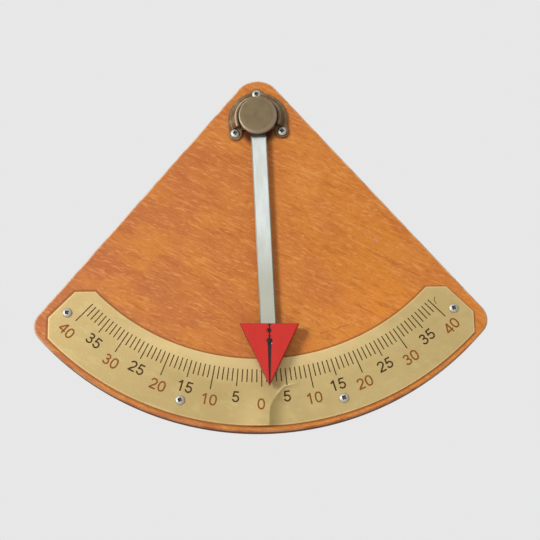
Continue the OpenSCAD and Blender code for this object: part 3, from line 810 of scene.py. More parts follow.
def tick_tree():
    """Lines in rays about the dial centre; every fifth is longer and every tenth longest."""
    inputs = [
        ("Each side", "Int"), ("Step", "Float"), ("Inner radius", "Float"),
        ("Outer radius", "Float"), ("Five radius", "Float"), ("Ten radius", "Float"),
        ("Width", "Float"), ("Thickness", "Float"), ("Centre", "Vector"), ("Ink", "Material"),
    ]
    tree, given, result = new_shape_tree("scale_ticks", inputs)
    value = given.outputs

    def maths(*step):
        return sums(tree, *step)

    def vector(x=0.0, y=0.0, z=0.0):
        return add_node(tree, "ShaderNodeCombineXYZ", {"X": x, "Y": y, "Z": z}).outputs[0]

    def pick(test, no, yes):
        feeds = {"Switch": test, "False": no, "True": yes}
        return add_node(tree, "GeometryNodeSwitch", feeds, input_type="FLOAT").outputs[0]

    count = maths("ADD", maths("MULTIPLY", value["Each side"], 2.0), 1.0)
    points = add_node(tree, "GeometryNodePoints", {"Count": count}).outputs[0]
    index = add_node(tree, "GeometryNodeInputIndex").outputs[0]
    number = maths("SUBTRACT", index, value["Each side"])
    angle = maths("MULTIPLY", number, value["Step"])
    size = maths("ABSOLUTE", number)
    is_five, is_ten = (
        maths("LESS_THAN", maths("MODULO", maths("ADD", size, 0.1), every), 0.5)
        for every in (5.0, 10.0)
    )
    is_ten = maths("MULTIPLY", is_ten, maths("GREATER_THAN", size, 0.5))
    outer = pick(is_five, value["Outer radius"], value["Five radius"])
    outer = pick(is_ten, outer, value["Ten radius"])
    middle = maths("MULTIPLY", maths("ADD", outer, value["Inner radius"]), 0.5)
    across = maths("MULTIPLY", middle, maths("SINE", angle))
    down = maths("MULTIPLY", middle, maths("COSINE", angle), -1.0)
    feeds = {0: vector(across, 0.0, down), 1: value["Centre"]}
    place = add_node(tree, "ShaderNodeVectorMath", feeds, operation="ADD").outputs[0]
    feeds = {"Geometry": points, "Position": place}
    points = add_node(tree, "GeometryNodeSetPosition", feeds).outputs[0]
    feeds = {"Size": vector(value["Width"], value["Thickness"], 1.0), "Vertices Z": 9}
    line = add_node(tree, "GeometryNodeMeshCube", feeds).outputs[0]
    feeds = {
        "Points": points, "Instance": line,
        "Rotation": vector(y=maths("MULTIPLY", angle, -1.0)),
        "Scale": vector(1.0, 1.0, maths("SUBTRACT", outer, value["Inner radius"])),
    }
    lines = add_node(tree, "GeometryNodeInstanceOnPoints", feeds).outputs[0]
    lines = add_node(tree, "GeometryNodeRealizeInstances", {"Geometry": lines}).outputs[0]
    feeds = {"Geometry": lines, "Material": value["Ink"]}
    lines = add_node(tree, "GeometryNodeSetMaterial", feeds).outputs[0]
    tree.links.new(lines, result.inputs[0])
    return tree


def follow_plate(piece):
    """Lays a flat print over the dent in the plate."""
    for vertex in piece.data.vertices:
        vertex.co.y -= dent(vertex.co.x / MM, vertex.co.z / MM) * MM


def arc_path(x, z, across, up, start, end, steps=14):
    """Part of an ellipse in a digit's own box, by angles in degrees."""
    turns = [math.radians(start + (end - start) * i / steps) for i in range(steps + 1)]
    return [(x + across * math.cos(t), z + up * math.sin(t)) for t in turns]


def digit_paths(digit):
    """Middle lines of the pen strokes of a digit one unit high."""
    low = stroke / 2
    high = 1 - low
    if digit == "0":
        ring = []
        for i in range(33):
            t = 2 * math.pi * i / 32
            c, s = math.cos(t), math.sin(t)
            ring.append((
                0.36 + 0.265 * math.copysign(abs(c) ** 0.86, c),
                0.5 + (0.5 - low) * math.copysign(abs(s) ** 0.86, s),
            ))
        return [ring]
    if digit == "1":
        flag = [(0.425, 0.97), (0.36, 0.885), (0.27, 0.81), (0.14, 0.752)]
        return [[(0.425, 0.0), (0.425, 1.0)], flag]
    if digit == "2":
        top = arc_path(0.36, 0.695, 0.25, high - 0.695, 172, -32)
        slope = [(0.5, 0.47), (0.36, 0.345), (0.2, 0.205), (0.11, low + 0.01)]
        return [top + slope, [(0.035, low), (0.655, low)]]
    if digit == "3":
        top = arc_path(0.345, 0.74, 0.215, high - 0.74, 165, -80)
        bowl = arc_path(0.35, 0.3, 0.255, 0.3 - low, 85, -168)
        return [top, [(0.25, 0.541), (0.39, 0.541)], bowl]
    if digit == "4":
        return [
            [(0.53, 0.0), (0.53, 1.0)],
            [(0.5, 0.945), (0.065, 0.29)],
            [(0.02, 0.28), (0.69, 0.28)],
        ]
    bar = [(0.615, high), (0.15, high)]
    side = [(0.205, 1.0), (0.125, 0.475)]
    bowl = arc_path(0.345, 0.33, 0.26, 0.33 - low, 143, -166, 20)
    return [bar, side, bowl]


def pen_stroke(bm, path, width, place, layer=0):
    """A flat ribbon of ink along a path; each further layer is a little thicker than the last."""
    depths = (ink_depths[0], ink_depths[1] - layer * ink_layer)
    closed = (Vector(path[0]) - Vector(path[-1])).length < 1e-6
    points = [Vector(p) for p in (path[:-1] if closed else path)]
    count = len(points)
    rows = []
    for i, point in enumerate(points):
        before = points[i - 1] if closed or i else point
        after = points[(i + 1) % count] if closed or i < count - 1 else point
        along = (after - before).normalized()
        side = Vector((-along.y, along.x)) * width / 2
        ends = [place(point + side), place(point - side)]
        rows.append([bm.verts.new((x, y, z)) for x, z in ends for y in depths])
    for i in range(count if closed else count - 1):
        a, b = rows[i], rows[(i + 1) % count]
        for p, q in ((0, 1), (1, 3), (3, 2), (2, 0)):
            bm.faces.new((a[p], a[q], b[q], b[p]))
    if not closed:
        bm.faces.new([rows[0][i] for i in (0, 2, 3, 1)])
        bm.faces.new([rows[-1][i] for i in (0, 1, 3, 2)])


def numeral(bm, text, radius, angle, left):
    """Sets a number square to its line, tops towards the dial centre and a little to the left."""
    right = Vector((math.cos(angle), math.sin(angle)))
    up = Vector((-math.sin(angle), math.cos(angle)))
    middle = Vector(dial_point(radius, angle)) - Vector((left, 0.0))
    width = 0.72 + digit_advance * (len(text) - 1)
    for place_in_row, digit in enumerate(text):
        shift = place_in_row * digit_advance - width / 2

        def place(point):
            spot = middle + digit_height * ((point.x + shift) * right + (point.y - 0.5) * up)
            return spot.x, spot.y

        for layer, path in enumerate(digit_paths(digit)):
            pen_stroke(bm, path, stroke, place, layer)


black_ink = ink("black_ink", ink_dark, paint(110, 84, 38))
red_ink = ink("red_ink", ink_red, paint(176, 112, 58))
ticks = grown(
    "scale_ticks",
    tick_tree(),
    {
        "Each side": ticks_each_side,
        "Step": tick_step,
        "Inner radius": tick_inner * MM,
        "Outer radius": tick_outer * MM,
        "Five radius": five_outer * MM,
        "Ten radius": ten_outer * MM,
        "Width": tick_width * MM,
        "Thickness": ink_thickness * MM,
        "Centre": (plate_shift * MM, sum(ink_depths) / 2 * MM, dial_z * MM),
        "Ink": black_ink,
    },
)
black_bm, red_bm = bmesh.new(), bmesh.new()
for number in range(0, ticks_each_side + 1, 5):
    is_ten = number % 10 == 0
    for side in (-1, 1) if number else (1,):
        numeral(
            red_bm if is_ten else black_bm,
            str(number),
            (tens_radius if is_ten else fives_radius) + set_lower.get(number, 0.0),
            side * number * numeral_step,
            set_left if side > 0 else last_set_left if number == ticks_each_side else 0.0,
        )
stray_mark = [(138.2, -132.8), (137.3, -135.4), (139.0, -138.5)]
stray_width = 0.5
pen_stroke(black_bm, stray_mark, stray_width, lambda p: turned_point(p.x, p.y, 0.0))
fives = new_piece("numerals_black", black_bm, [black_ink])
tens = new_piece("numerals_red", red_bm, [red_ink])
for print_piece in (ticks, fives, tens):
    follow_plate(print_piece)
    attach(print_piece, "board")

# --- Pan-head screws ---------------------------------------------------------
# Bright plated steel screws with a cross recess: four hold the plate and
# three hold the pivot housing. Each is a forged head on a plain shank.
head_radius = 3.75
head_height = 2.2
shank_radius = 1.75
shank_length = 10.0
point_length = 2.6
dome_start = 0.75
recess_span = 4.0
recess_width = 1.3
recess_heart = 0.95
recess_depth = 1.3
low_screw = (221.7, math.radians(16.65))
end_screw = (208.5, math.radians(47.0))
housing_bolt_radius = 22.2
housing_turn = math.radians(2.4)
housing_seat = 2.2


def toned(colour, share):
    """The same colour, darker or lighter."""
    return tuple(share * c for c in colour[:3]) + (1.0,)


def plated_steel(name, colour, roughness):
    """Bright plating, a little scuffed."""
    finish, tree, shader = new_finish(name, colour, roughness, 1.0)
    scuffs = spots(tree, (1.1, 1.1, 1.1), 0.4, 0.75, 0.0, 4.0, 0.5)
    shade = blend(tree, scuffs, colour, toned(colour, 0.62))
    tree.links.new(shade, shader.inputs["Base Color"])
    wear = spots(tree, (0.7, 0.7, 0.7), 0.3, 0.7)
    uneven_gloss(tree, shader, wear, roughness - 0.06, roughness + 0.12)
    rough_surface(tree, shader, spots(tree, (0.4, 0.4, 0.4), 0.3, 0.7), 0.02)
    return finish


def grime():
    """Dirt and painted shade at the bottom of a screw's recess."""
    finish, tree, shader = new_finish("grime", paint(98, 92, 80), 0.9, Specular_IOR_Level=0.1)
    crumbs = spots(tree, (0.5, 0.5, 0.5), 0.4, 0.7)
    shade = blend(tree, crumbs, paint(78, 73, 63), paint(118, 111, 97))
    tree.links.new(shade, shader.inputs["Base Color"])
    return finish


def screw_tree():
    """One screw on every point, each turned by chance about its own axis."""
    inputs = [
        ("Geometry", "Geometry"), ("Screw", "Object"), ("Seed", "Int"),
        ("Plating", "Material"), ("Recess", "Material"),
    ]
    tree, given, result = new_shape_tree("screws", inputs)
    feeds = {"Object": given.outputs["Screw"]}
    screw = add_node(tree, "GeometryNodeObjectInfo", feeds).outputs["Geometry"]
    feeds = {"Max": (0.0, 1.5, 0.0), "Seed": given.outputs["Seed"]}
    turn = add_node(tree, "FunctionNodeRandomValue", feeds, data_type="FLOAT_VECTOR").outputs[0]
    feeds = {"Points": given.outputs[0], "Instance": screw, "Rotation": turn}
    screws = add_node(tree, "GeometryNodeInstanceOnPoints", feeds).outputs[0]
    screws = add_node(tree, "GeometryNodeRealizeInstances", {"Geometry": screws}).outputs[0]
    slot_number = add_node(tree, "GeometryNodeInputMaterialIndex").outputs[0]
    for test, finish in (("LESS_THAN", "Plating"), ("GREATER_THAN", "Recess")):
        chosen = sums(tree, test, slot_number, 0.5)
        feeds = {"Geometry": screws, "Selection": chosen, "Material": given.outputs[finish]}
        screws = add_node(tree, "GeometryNodeSetMaterial", feeds).outputs[0]
    tree.links.new(screws, result.inputs[0])
    return tree


def pan_screw(plating, dirt_and_shade):
    """The pattern screw at the origin, its head towards -Y."""
    rise = head_height - dome_start
    dome = [(head_radius * math.cos(a), dome_start + rise * math.sin(a))
            for a in map(math.radians, (8, 22, 36, 50, 64, 78))]
    profile = [(0, -shank_length), (0.5, -shank_length + 0.6)]
    profile += [(shank_radius, -shank_length + point_length), (shank_radius, 0)]
    profile += [(head_radius - 0.15, 0), (head_radius, 0.15)]
    bm = bmesh.new()
    turned(bm, profile + dome + [(0, head_height)], segments=48)
    screw = new_piece("screw_pattern", bm, [plating])
    bm = bmesh.new()
    layers = []
    bottom = recess_depth - head_height
    for taper, y in ((1.0, -head_height - 0.5), (1.0, -head_height), (0.5, bottom)):
        long, short = recess_span / 2 * taper, recess_width / 2 * (0.7 + 0.3 * taper)
        heart = recess_heart * (0.4 + 0.6 * taper)
        cross = []
        for quarter in range(4):
            turn = Matrix.Rotation(quarter * math.pi / 2, 2)
            arm_end = [(long, -short), (long, short), (heart, heart)]
            cross += [tuple(turn @ Vector(corner)) for corner in arm_end]
        layers.append((cross, y))
    stack_of_loops(bm, layers, [0, 0, 0, 0])
    return cut_away(screw, new_piece("recess", bm, [dirt_and_shade]))


plating = plated_steel("screw_plating", paint(190, 187, 178), 0.5)
dirt_and_shade = grime()
pattern = pan_screw(plating, dirt_and_shade)
plate_spots = [
    dial_point(radius, side * angle)
    for radius, angle in (low_screw, end_screw)
    for side in (-1, 1)
]
housing_spots = [
    (
        housing_bolt_radius * math.sin(a - housing_turn),
        pivot_z + housing_bolt_radius * math.cos(a - housing_turn),
    )
    for a in map(math.radians, (0, 120, 240))
]
screws = screw_tree()
for name, places, seat, seed in (
    ("scale_screws", plate_spots, plate_front, 3),
    ("housing_screws", housing_spots, board_front - housing_seat, 8),
):
    start = bpy.data.meshes.new(name + "_bright")
    start.from_pydata([(x * MM, seat * MM, z * MM) for x, z in places], [], [])
    values = {"Screw": pattern, "Seed": seed, "Plating": plating, "Recess": dirt_and_shade}
    piece = grown(name + "_bright", screws, values, start)
    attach(piece, "board")
    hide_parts(name)
bpy.data.objects.remove(pattern)

# --- Pivot housing -----------------------------------------------------------
# A horseshoe of cast bronze with a raised wall round the bearing, open below
# for the arm. Age has turned it olive brown, with green in the corners.
no_pale_rim = 99.0


def bronze(name, colour, deep, green, roughness, patina, highlight_radius, highlight_share, pale_rim_from):
    """Old bronze: mottled brown, dark pits, green patina, painted shade on the right, a paler rim
    edge, and a painted highlight round a rim, strongest on the left.
    """
    finish, tree, shader = new_finish(name, colour, roughness, 0.35)
    shade = coats(tree, colour, {
        "mottling": ((7, 7, 7), 0.35, 0.65, 0.0, 4.0, 1.0, 0.0, deep),
        "bloom": ((4.5, 4.5, 4.5), 0.52, 0.75, 0.0, 4.0, patina, 0.0, green),
        "pits": ((0.9, 0.9, 0.9), 0.6, 0.74, 0.0, 2.0, 0.5, 0.0, paint(62, 48, 32)),
    })
    place = axes(tree)
    # Painted highlight: a bright band round a rim, strongest on the left.
    disc = round_stain(tree, (0.0, pivot_z), highlight_radius + 0.6, 0.25)
    hole = round_stain(tree, (0.0, pivot_z), highlight_radius - 0.5, 0.25)
    painted_highlight = sums(
        tree, "MULTIPLY",
        sums(tree, "SUBTRACT", disc, hole), highlight_share,
        ramp(tree, place["Y"], -22.4 * MM, -21.6 * MM, 1.0, 0.0),
        ramp(tree, place["X"], -12 * MM, 2 * MM, 1.0, 0.12),
        spots(tree, (7, 7, 7), 0.25, 0.5, 0.0, 2.0),
    )
    # Painted shade: darker towards the right.
    painted_shade_right = ramp(tree, place["X"], 12 * MM, 20 * MM, 0.0, 0.6)
    shade = blend(tree, painted_shade_right, shade, paint(90, 66, 40))
    # Paler out from pale_rim_from, more on the right and below.
    pale_rim_edge = round_stain(tree, (-1.2, pivot_z + 1.2), pale_rim_from, 0.6)
    pale_rim_edge = ramp(tree, pale_rim_edge, 0.0, 1.0, 0.7, 0.0)
    shade = blend(tree, pale_rim_edge, shade, paint(143, 122, 104))
    verdigris = round_stain(tree, (19.0, pivot_z + 11.0), 5.0, 4.0)
    verdigris = sums(tree, "MULTIPLY", verdigris, spots(tree, (2.5, 2.5, 2.5), 0.4, 0.6))
    shade = blend(tree, verdigris, shade, green)
    shade = blend(tree, painted_highlight, shade, paint(238, 222, 190))
    tree.links.new(shade, shader.inputs["Base Color"])
    tree.links.new(ramp(tree, painted_highlight, 0.0, 1.0, 0.35, 0.5), shader.inputs["Metallic"])
    sheen = spots(tree, (3, 3, 3), 0.3, 0.7, 0.0, 4.0)
    gloss = ramp(tree, sheen, 0.0, 1.0, roughness - 0.08, roughness + 0.1)
    gloss = sums(tree, "SUBTRACT", gloss, sums(tree, "MULTIPLY", painted_highlight, 0.12))
    tree.links.new(gloss, shader.inputs["Roughness"])
    rough_surface(tree, shader, spots(tree, (0.8, 0.8, 0.8), 0.3, 0.7, 0.0, 4.0), 0.05)
    return finish


def merged_copy(node, name, finishes):
    """A copy of a CAD node's mesh with its loose triangles joined."""
    bm = bmesh.new()
    bm.from_mesh(nodes[node].data)
    bmesh.ops.remove_doubles(bm, verts=bm.verts, dist=2e-6)
    flat = math.radians(0.5)
    bmesh.ops.dissolve_limit(bm, angle_limit=flat, verts=bm.verts, edges=bm.edges)
    for face in bm.faces:
        face.material_index = 0
    return new_piece(name, bm, finishes, scale=1.0, closed=False)


def cast_copy(node, name, finish, voxel, rounds):
    """A CAD node with all its corners softened, as sand casting leaves them."""
    piece = merged_copy(node, name, [finish])
    remesh = piece.modifiers.new("even", "REMESH")
    remesh.mode = "VOXEL"
    remesh.voxel_size = voxel * MM
    soften = piece.modifiers.new("soften", "SMOOTH")
    soften.factor = 0.5
    soften.iterations = rounds
    return baked(piece)


housing_bronze = bronze(
    "housing_bronze", paint(148, 120, 84), paint(108, 80, 50), paint(112, 122, 74),
    roughness=0.4, patina=0.3, highlight_radius=18.8, highlight_share=1.0, pale_rim_from=no_pale_rim,
)
housing = cast_copy("pivot_housing", "pivot_housing_cast", housing_bronze, 0.3, 9)
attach(housing, "board")
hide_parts("pivot_housing")

# --- Spindle, nut and washer -------------------------------------------------
# The steel axle of the pendulum. Its collar bears on the housing, its tail goes
# through the board, and a nut and washer hold it in the bore at the back.


def machined_steel(name, colour, roughness):
    """Turned or ground steel with faint stains."""
    finish, tree, shader = new_finish(name, colour, roughness, 1.0)
    stains = spots(tree, (2.5, 2.5, 2.5), 0.45, 0.75, 0.0, 4.0, 0.5)
    shade = blend(tree, stains, colour, toned(colour, 0.5))
    tree.links.new(shade, shader.inputs["Base Color"])
    rough_surface(tree, shader, spots(tree, (0.3, 3, 0.3), 0.3, 0.7), 0.01)
    return finish


def dress(node, finish):
    """Gives a CAD node its finish."""
    mesh = nodes[node].data
    mesh.materials.clear()
    mesh.materials.append(finish)
    for face in mesh.polygons:
        face.material_index = 0


def bevelled_copy(node, name, finish, width):
    """A CAD node with its sharp edges broken by a small bevel."""
    piece = merged_copy(node, name, [finish])
    bevel = piece.modifiers.new("edges", "BEVEL")
    bevel.width = width * MM
    bevel.segments = 2
    bevel.limit_method = "ANGLE"
    bevel.angle_limit = math.radians(40.0)
    bevel.use_clamp_overlap = True
    return baked(piece)


steel = machined_steel("machined_steel", paint(190, 188, 182), 0.3)
for part in ("spindle", "spindle_washer"):
    dress(part, steel)
nut = bevelled_copy("spindle_nut", "spindle_nut_plated", plating, 0.25)
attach(nut, "board")
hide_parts("spindle_nut")

# --- Ball bearing ------------------------------------------------------------
# A shielded ball bearing between the spindle and the hub, so that the pendulum
# swings freely. A snap ring keeps it in the hub.
dark_steel = machined_steel("dark_steel", paint(96, 94, 90), 0.38)
for part in ("bearing_inner_ring", "bearing_outer_ring", "bearing_balls"):
    dress(part, steel)
dress("bearing_cage", machined_steel("cage_brass", paint(176, 140, 76), 0.4))
dress("bearing_shields", plating)
dress("bearing_clip", dark_steel)

# --- Hub ---------------------------------------------------------------------
# The bronze seat of the bearing. Its neck takes the tongue of the arm, held by
# two small screws from behind.
# Painted shade: the hub is coloured much darker than the housing, as the shade under the cap.
hub_bronze = bronze(
    "hub_bronze", paint(58, 58, 44), paint(42, 42, 32), paint(54, 76, 56),
    roughness=0.45, patina=0.6, highlight_radius=11.0, highlight_share=0.5, pale_rim_from=no_pale_rim,
)
hub = bevelled_copy("hub", "hub_cast", hub_bronze, 0.3)
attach(hub, "pendulum")
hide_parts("hub")

# --- Pendulum arm ------------------------------------------------------------
# A flat strip of bright metal, half an inch wide, with its long edges filed
# round. The narrow tongue at its top goes into the hub.
hang_angle = math.radians(2.0)
arm_width = 12.7
tongue_width = 9.1
arm_back = 5.3
arm_front = 6.8
arm_top = 15.8
tongue_end = 9.4
arm_bottom = 192.0
arm_bevel = 0.9


def hanging(x, z):
    """x and z of a point given across and along the pendulum, measured from the pivot."""
    c, s = math.cos(hang_angle), math.sin(hang_angle)
    return (x * c - z * s, pivot_z + x * s + z * c)


def arm_metal(name, colour, low_colour, roughness):
    """Bright strip with fine lengthwise scratches, and a painted reflection that fades darker
    towards the bottom.
    """
    finish, tree, shader = new_finish(name, colour, roughness, 0.6)
    painted_reflection_fade = ramp(tree, axes(tree)["Z"], -85 * MM, -20 * MM, 1.0, 0.0)
    shade = blend(tree, painted_reflection_fade, colour, low_colour)
    shade = coats(tree, shade, {
        "clouds": ((6, 6, 22), 0.4, 0.7, -hang_angle, 3.0, 0.3, 0.0, low_colour),
        "lines": ((0.35, 1, 30), 0.45, 0.75, -hang_angle, 3.0, 0.22, 0.0, paint(168, 170, 164)),
    })
    tree.links.new(shade, shader.inputs["Base Color"])
    brushed = spots(tree, (0.25, 1, 14), 0.3, 0.7, -hang_angle, 2.0)
    uneven_gloss(tree, shader, brushed, roughness - 0.06, roughness + 0.1)
    rough_surface(tree, shader, brushed, 0.015)
    return finish


def hung_loop(points, place, inset=0.0):
    """A loop of the pendulum, moved inwards and put in the scene by hanging or on_pointer."""
    return [place(x, z) for x, z in inset_loop(points, inset)]


half = arm_width / 2
half_tongue = tongue_width / 2
arm_points = [
    (-half, -arm_bottom), (half, -arm_bottom), (half, -arm_top), (half_tongue, -arm_top),
    (half_tongue, -tongue_end), (-half_tongue, -tongue_end), (-half_tongue, -arm_top),
    (-half, -arm_top),
]
back_y, front_y = board_front - arm_back, board_front - arm_front
arm_rows = [
    (0.2, back_y), (0.0, back_y - 0.15), (0.0, front_y + 0.45),
    (0.35, front_y + 0.15), (arm_bevel, front_y),
]
layers = [(hung_loop(arm_points, hanging, inset), y) for inset, y in arm_rows]
bm = bmesh.new()
stack_of_loops(bm, layers, [0, 1, 1, 1, 1, 0])
# The edges take a darker copy of the arm's metal: painted shade.
arm_finishes = [
    arm_metal("arm_face", paint(226, 232, 229), paint(186, 187, 172), 0.36),
    arm_metal("arm_edge", paint(150, 146, 130), paint(116, 110, 96), 0.5),
]
arm = new_piece("pendulum_arm_strip", bm, arm_finishes)
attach(arm, "pendulum")
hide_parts("pendulum_arm")
dress("arm_screws", plating)

# --- Pointer -----------------------------------------------------------------
# A red-painted metal triangle, which is also the pendulum's weight. Two black
# screws clamp it to the arm, and a black needle down its middle gives the
# reading. It sits very slightly askew, as in the photograph.
pointer_width = 45.8
pointer_length = 48.1
pointer_top = 173.4
pointer_front = 14.0
pointer_skew = math.radians(2.7)
skew_centre = -192.0
low_bolt = 187.2
top_bolt = 179.0
pointer_bevel = 0.6


def on_pointer(x, z):
    """x and z of a point of the pointer, which is turned about the arm's lower end."""
    c, s = math.cos(pointer_skew), -math.sin(pointer_skew)
    z -= skew_centre
    return hanging(x * c - z * s, skew_centre + x * s + z * c)


def red_paint(name, colour, roughness):
    """Brushed enamel, slightly uneven, with dust in its corners."""
    finish, tree, shader = new_finish(
        name, colour, roughness,
        Specular_IOR_Level=0.25, Coat_Weight=0.05, Coat_Roughness=0.2,
    )
    shade = coats(tree, colour, {
        "thick paint": ((9, 9, 16), 0.35, 0.68, 0.0, 3.0, 0.5, 0.0, toned(colour, 1.12)),
        "dust": ((5, 5, 5), 0.5, 0.75, 0.0, 4.0, 0.35, 0.0, paint(196, 62, 54)),
    })
    # A small white spot beside the lower screw.
    white_spot = round_stain(tree, (8.1, dial_z - 171.0), 0.55, 0.25)
    shade = blend(tree, white_spot, shade, paint(244, 236, 232))
    tree.links.new(shade, shader.inputs["Base Color"])
    rough_surface(tree, shader, spots(tree, (1.6, 1.6, 3), 0.3, 0.7, 0.0, 3.0), 0.03)
    return finish


def black_steel():
    """Blackened steel, rubbed bright here and there."""
    finish, tree, shader = new_finish("black_steel", paint(30, 17, 15), 0.4, 0.3)
    rubbed = spots(tree, (0.8, 0.8, 0.8), 0.58, 0.78, 0.0, 3.0, 0.5)
    shade = blend(tree, rubbed, paint(30, 15, 13), paint(84, 60, 54))
    tree.links.new(shade, shader.inputs["Base Color"])
    rough_surface(tree, shader, spots(tree, (0.4, 0.4, 0.4), 0.3, 0.7), 0.02)
    return finish


# The bevel and the sides take darker copies of the enamel: painted shade.
red_finishes = [
    red_paint("red_enamel", paint(208, 46, 38), 0.42),
    red_paint("red_edge", paint(170, 42, 30), 0.5),
    red_paint("red_side", paint(140, 28, 22), 0.5),
]
triangle = [
    (-pointer_width / 2, -pointer_top),
    (0.0, -pointer_top - pointer_length),
    (pointer_width / 2, -pointer_top),
]
back_y, front_y = board_front - arm_front, board_front - pointer_front
pointer_rows = [
    (0.0, back_y), (0.0, front_y + pointer_bevel),
    (0.3 * pointer_bevel, front_y + 0.3 * pointer_bevel), (pointer_bevel, front_y),
]
layers = [(hung_loop(triangle, on_pointer, inset), y) for inset, y in pointer_rows]
bm = bmesh.new()
stack_of_loops(bm, layers, [2, 2, 1, 1, 0])
pointer = new_piece("pointer_block", bm, red_finishes)
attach(pointer, "pendulum")
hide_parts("pointer")

needle_tip = pointer_top + pointer_length + 0.6
needle_widths = [
    (pointer_top + 0.35, 2.4), (pointer_top + 1.3, 2.2), (pointer_top + 2.2, 0.9),
    (182.6, 0.9), (183.0, 1.9), (183.9, 1.9), (184.4, 0.9), (low_bolt - 1.0, 1.0),
    (low_bolt, 3.0), (needle_tip - 1.2, 1.0),
]
needle_points = [(-width / 2, -drop) for drop, width in needle_widths]
needle_points += [(0.0, -needle_tip)]
needle_points += [(width / 2, -drop) for drop, width in reversed(needle_widths)]
needle_rows = [(0.0, front_y - 0.005), (0.1, front_y - 0.2)]
layers = [(hung_loop(needle_points, on_pointer, inset), y) for inset, y in needle_rows]
bm = bmesh.new()
stack_of_loops(bm, layers, [0, 0, 0])
black = black_steel()
needle = new_piece("index_needle_strip", bm, [black])
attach(needle, "pendulum")
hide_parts("index_needle")

bolt_shank = 1.25
bolt_height = 1.1
bolt_tail = 2.9
bolt_rise = pointer_front + 0.2
bolt_heads = ((low_bolt, 2.2, 0.5), (top_bolt, 1.75, -0.35))
slot_length = 6.0
slot_width = 0.6
slot_depth = 0.4
slot_reach = 1.0
bm = bmesh.new()
for distance, head, _ in bolt_heads:
    profile = [(0, bolt_tail), (bolt_shank, bolt_tail), (bolt_shank, bolt_rise), (head, bolt_rise)]
    profile += [(head, bolt_rise + 0.35), (head * 0.86, bolt_rise + 0.7)]
    profile += [(head * 0.5, bolt_rise + 0.84), (0, bolt_rise + 0.9)]
    turned(bm, profile, hanging(0, -distance), board_front, 32)
bolts = new_piece("pointer_screws_black", bm, [black])
bm = bmesh.new()
for distance, _, angle in bolt_heads:
    x, z = hanging(0, -distance)
    turn = Matrix.Rotation(angle, 2)
    signs = ((-1, -1), (1, -1), (1, 1), (-1, 1))
    corners = [turn @ Vector((i * slot_length / 2, j * slot_width / 2)) for i, j in signs]
    loop = [(x + c.x, z + c.y) for c in corners]
    y = front_y - bolt_height
    stack_of_loops(bm, [(loop, y + slot_depth), (loop, y - slot_reach)], [0, 0, 0])
cut_away(bolts, new_piece("slots", bm, [black]))
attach(bolts, "pendulum")
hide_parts("pointer_screws")
nuts = bevelled_copy("pointer_nuts", "pointer_nuts_dark", dark_steel, 0.12)
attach(nuts, "pendulum")
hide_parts("pointer_nuts")

# --- Pivot cap ---------------------------------------------------------------
# A round bronze disc screwed on the front of the spindle. It covers the
# bearing and stands still while the arm swings behind it.
cap_profile = [
    (0, 8.8), (3.6, 8.8), (3.6, 10.2), (15.35, 10.2), (15.6, 10.45), (15.6, 12.35),
    (15.45, 12.75), (15.1, 13.02), (14.6, 13.12), (11.0, 13.18), (0, 13.2),
]
bm = bmesh.new()
turned(bm, cap_profile, (0, pivot_z), board_front, 96)
cap_bronze = bronze(
    "cap_bronze", paint(128, 111, 78), paint(121, 102, 71), paint(118, 108, 69),
    roughness=0.48, patina=0.35, highlight_radius=15.3, highlight_share=0.35, pale_rim_from=13.9,
)
cap = new_piece("pivot_cap_disc", bm, [cap_bronze])
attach(cap, "board")
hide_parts("pivot_cap")

# --- Hangers -----------------------------------------------------------------
# Two zinc-plated keyhole plates let in flush with the back, each held by two
# countersunk screws. The heads of the wall screws go in at the round holes.
zinc = plated_steel("zinc_plate", paint(196, 200, 198), 0.34)
hangers = bevelled_copy("hanger_plates", "hanger_plates_zinc", zinc, 0.2)
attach(hangers, "board")
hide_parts("hanger_plates")
dress("hanger_screws", plating)

# --- Studio ------------------------------------------------------------------
# A soft key lamp from the left, a fill behind, even light all round and a pale
# floor. The camera looks up at the board from below, as in the photograph.
backdrop_tone = 0.8
ambient = 0.46
side_glow = 0.25
top_glow = 0.2
key_watts = 5.9
fill_watts = 14.0
floor_z = -0.4
floor_glow = 0.3
lamp_spread = math.radians(70)
lit_spot = (0.0, 0.0, -0.05)


def area_lamp(name, place, watts, size, spread):
    """A square soft lamp, whose grid lets light out only within the spread."""
    lamp = bpy.data.lights.new(name, "AREA")
    lamp.energy = watts
    lamp.size = size
    lamp.spread = spread
    holder = put_in_scene(name, lamp)
    holder.location = place
    way = Vector(lit_spot) - Vector(place)
    holder.rotation_euler = way.to_track_quat("-Z", "Y").to_euler()


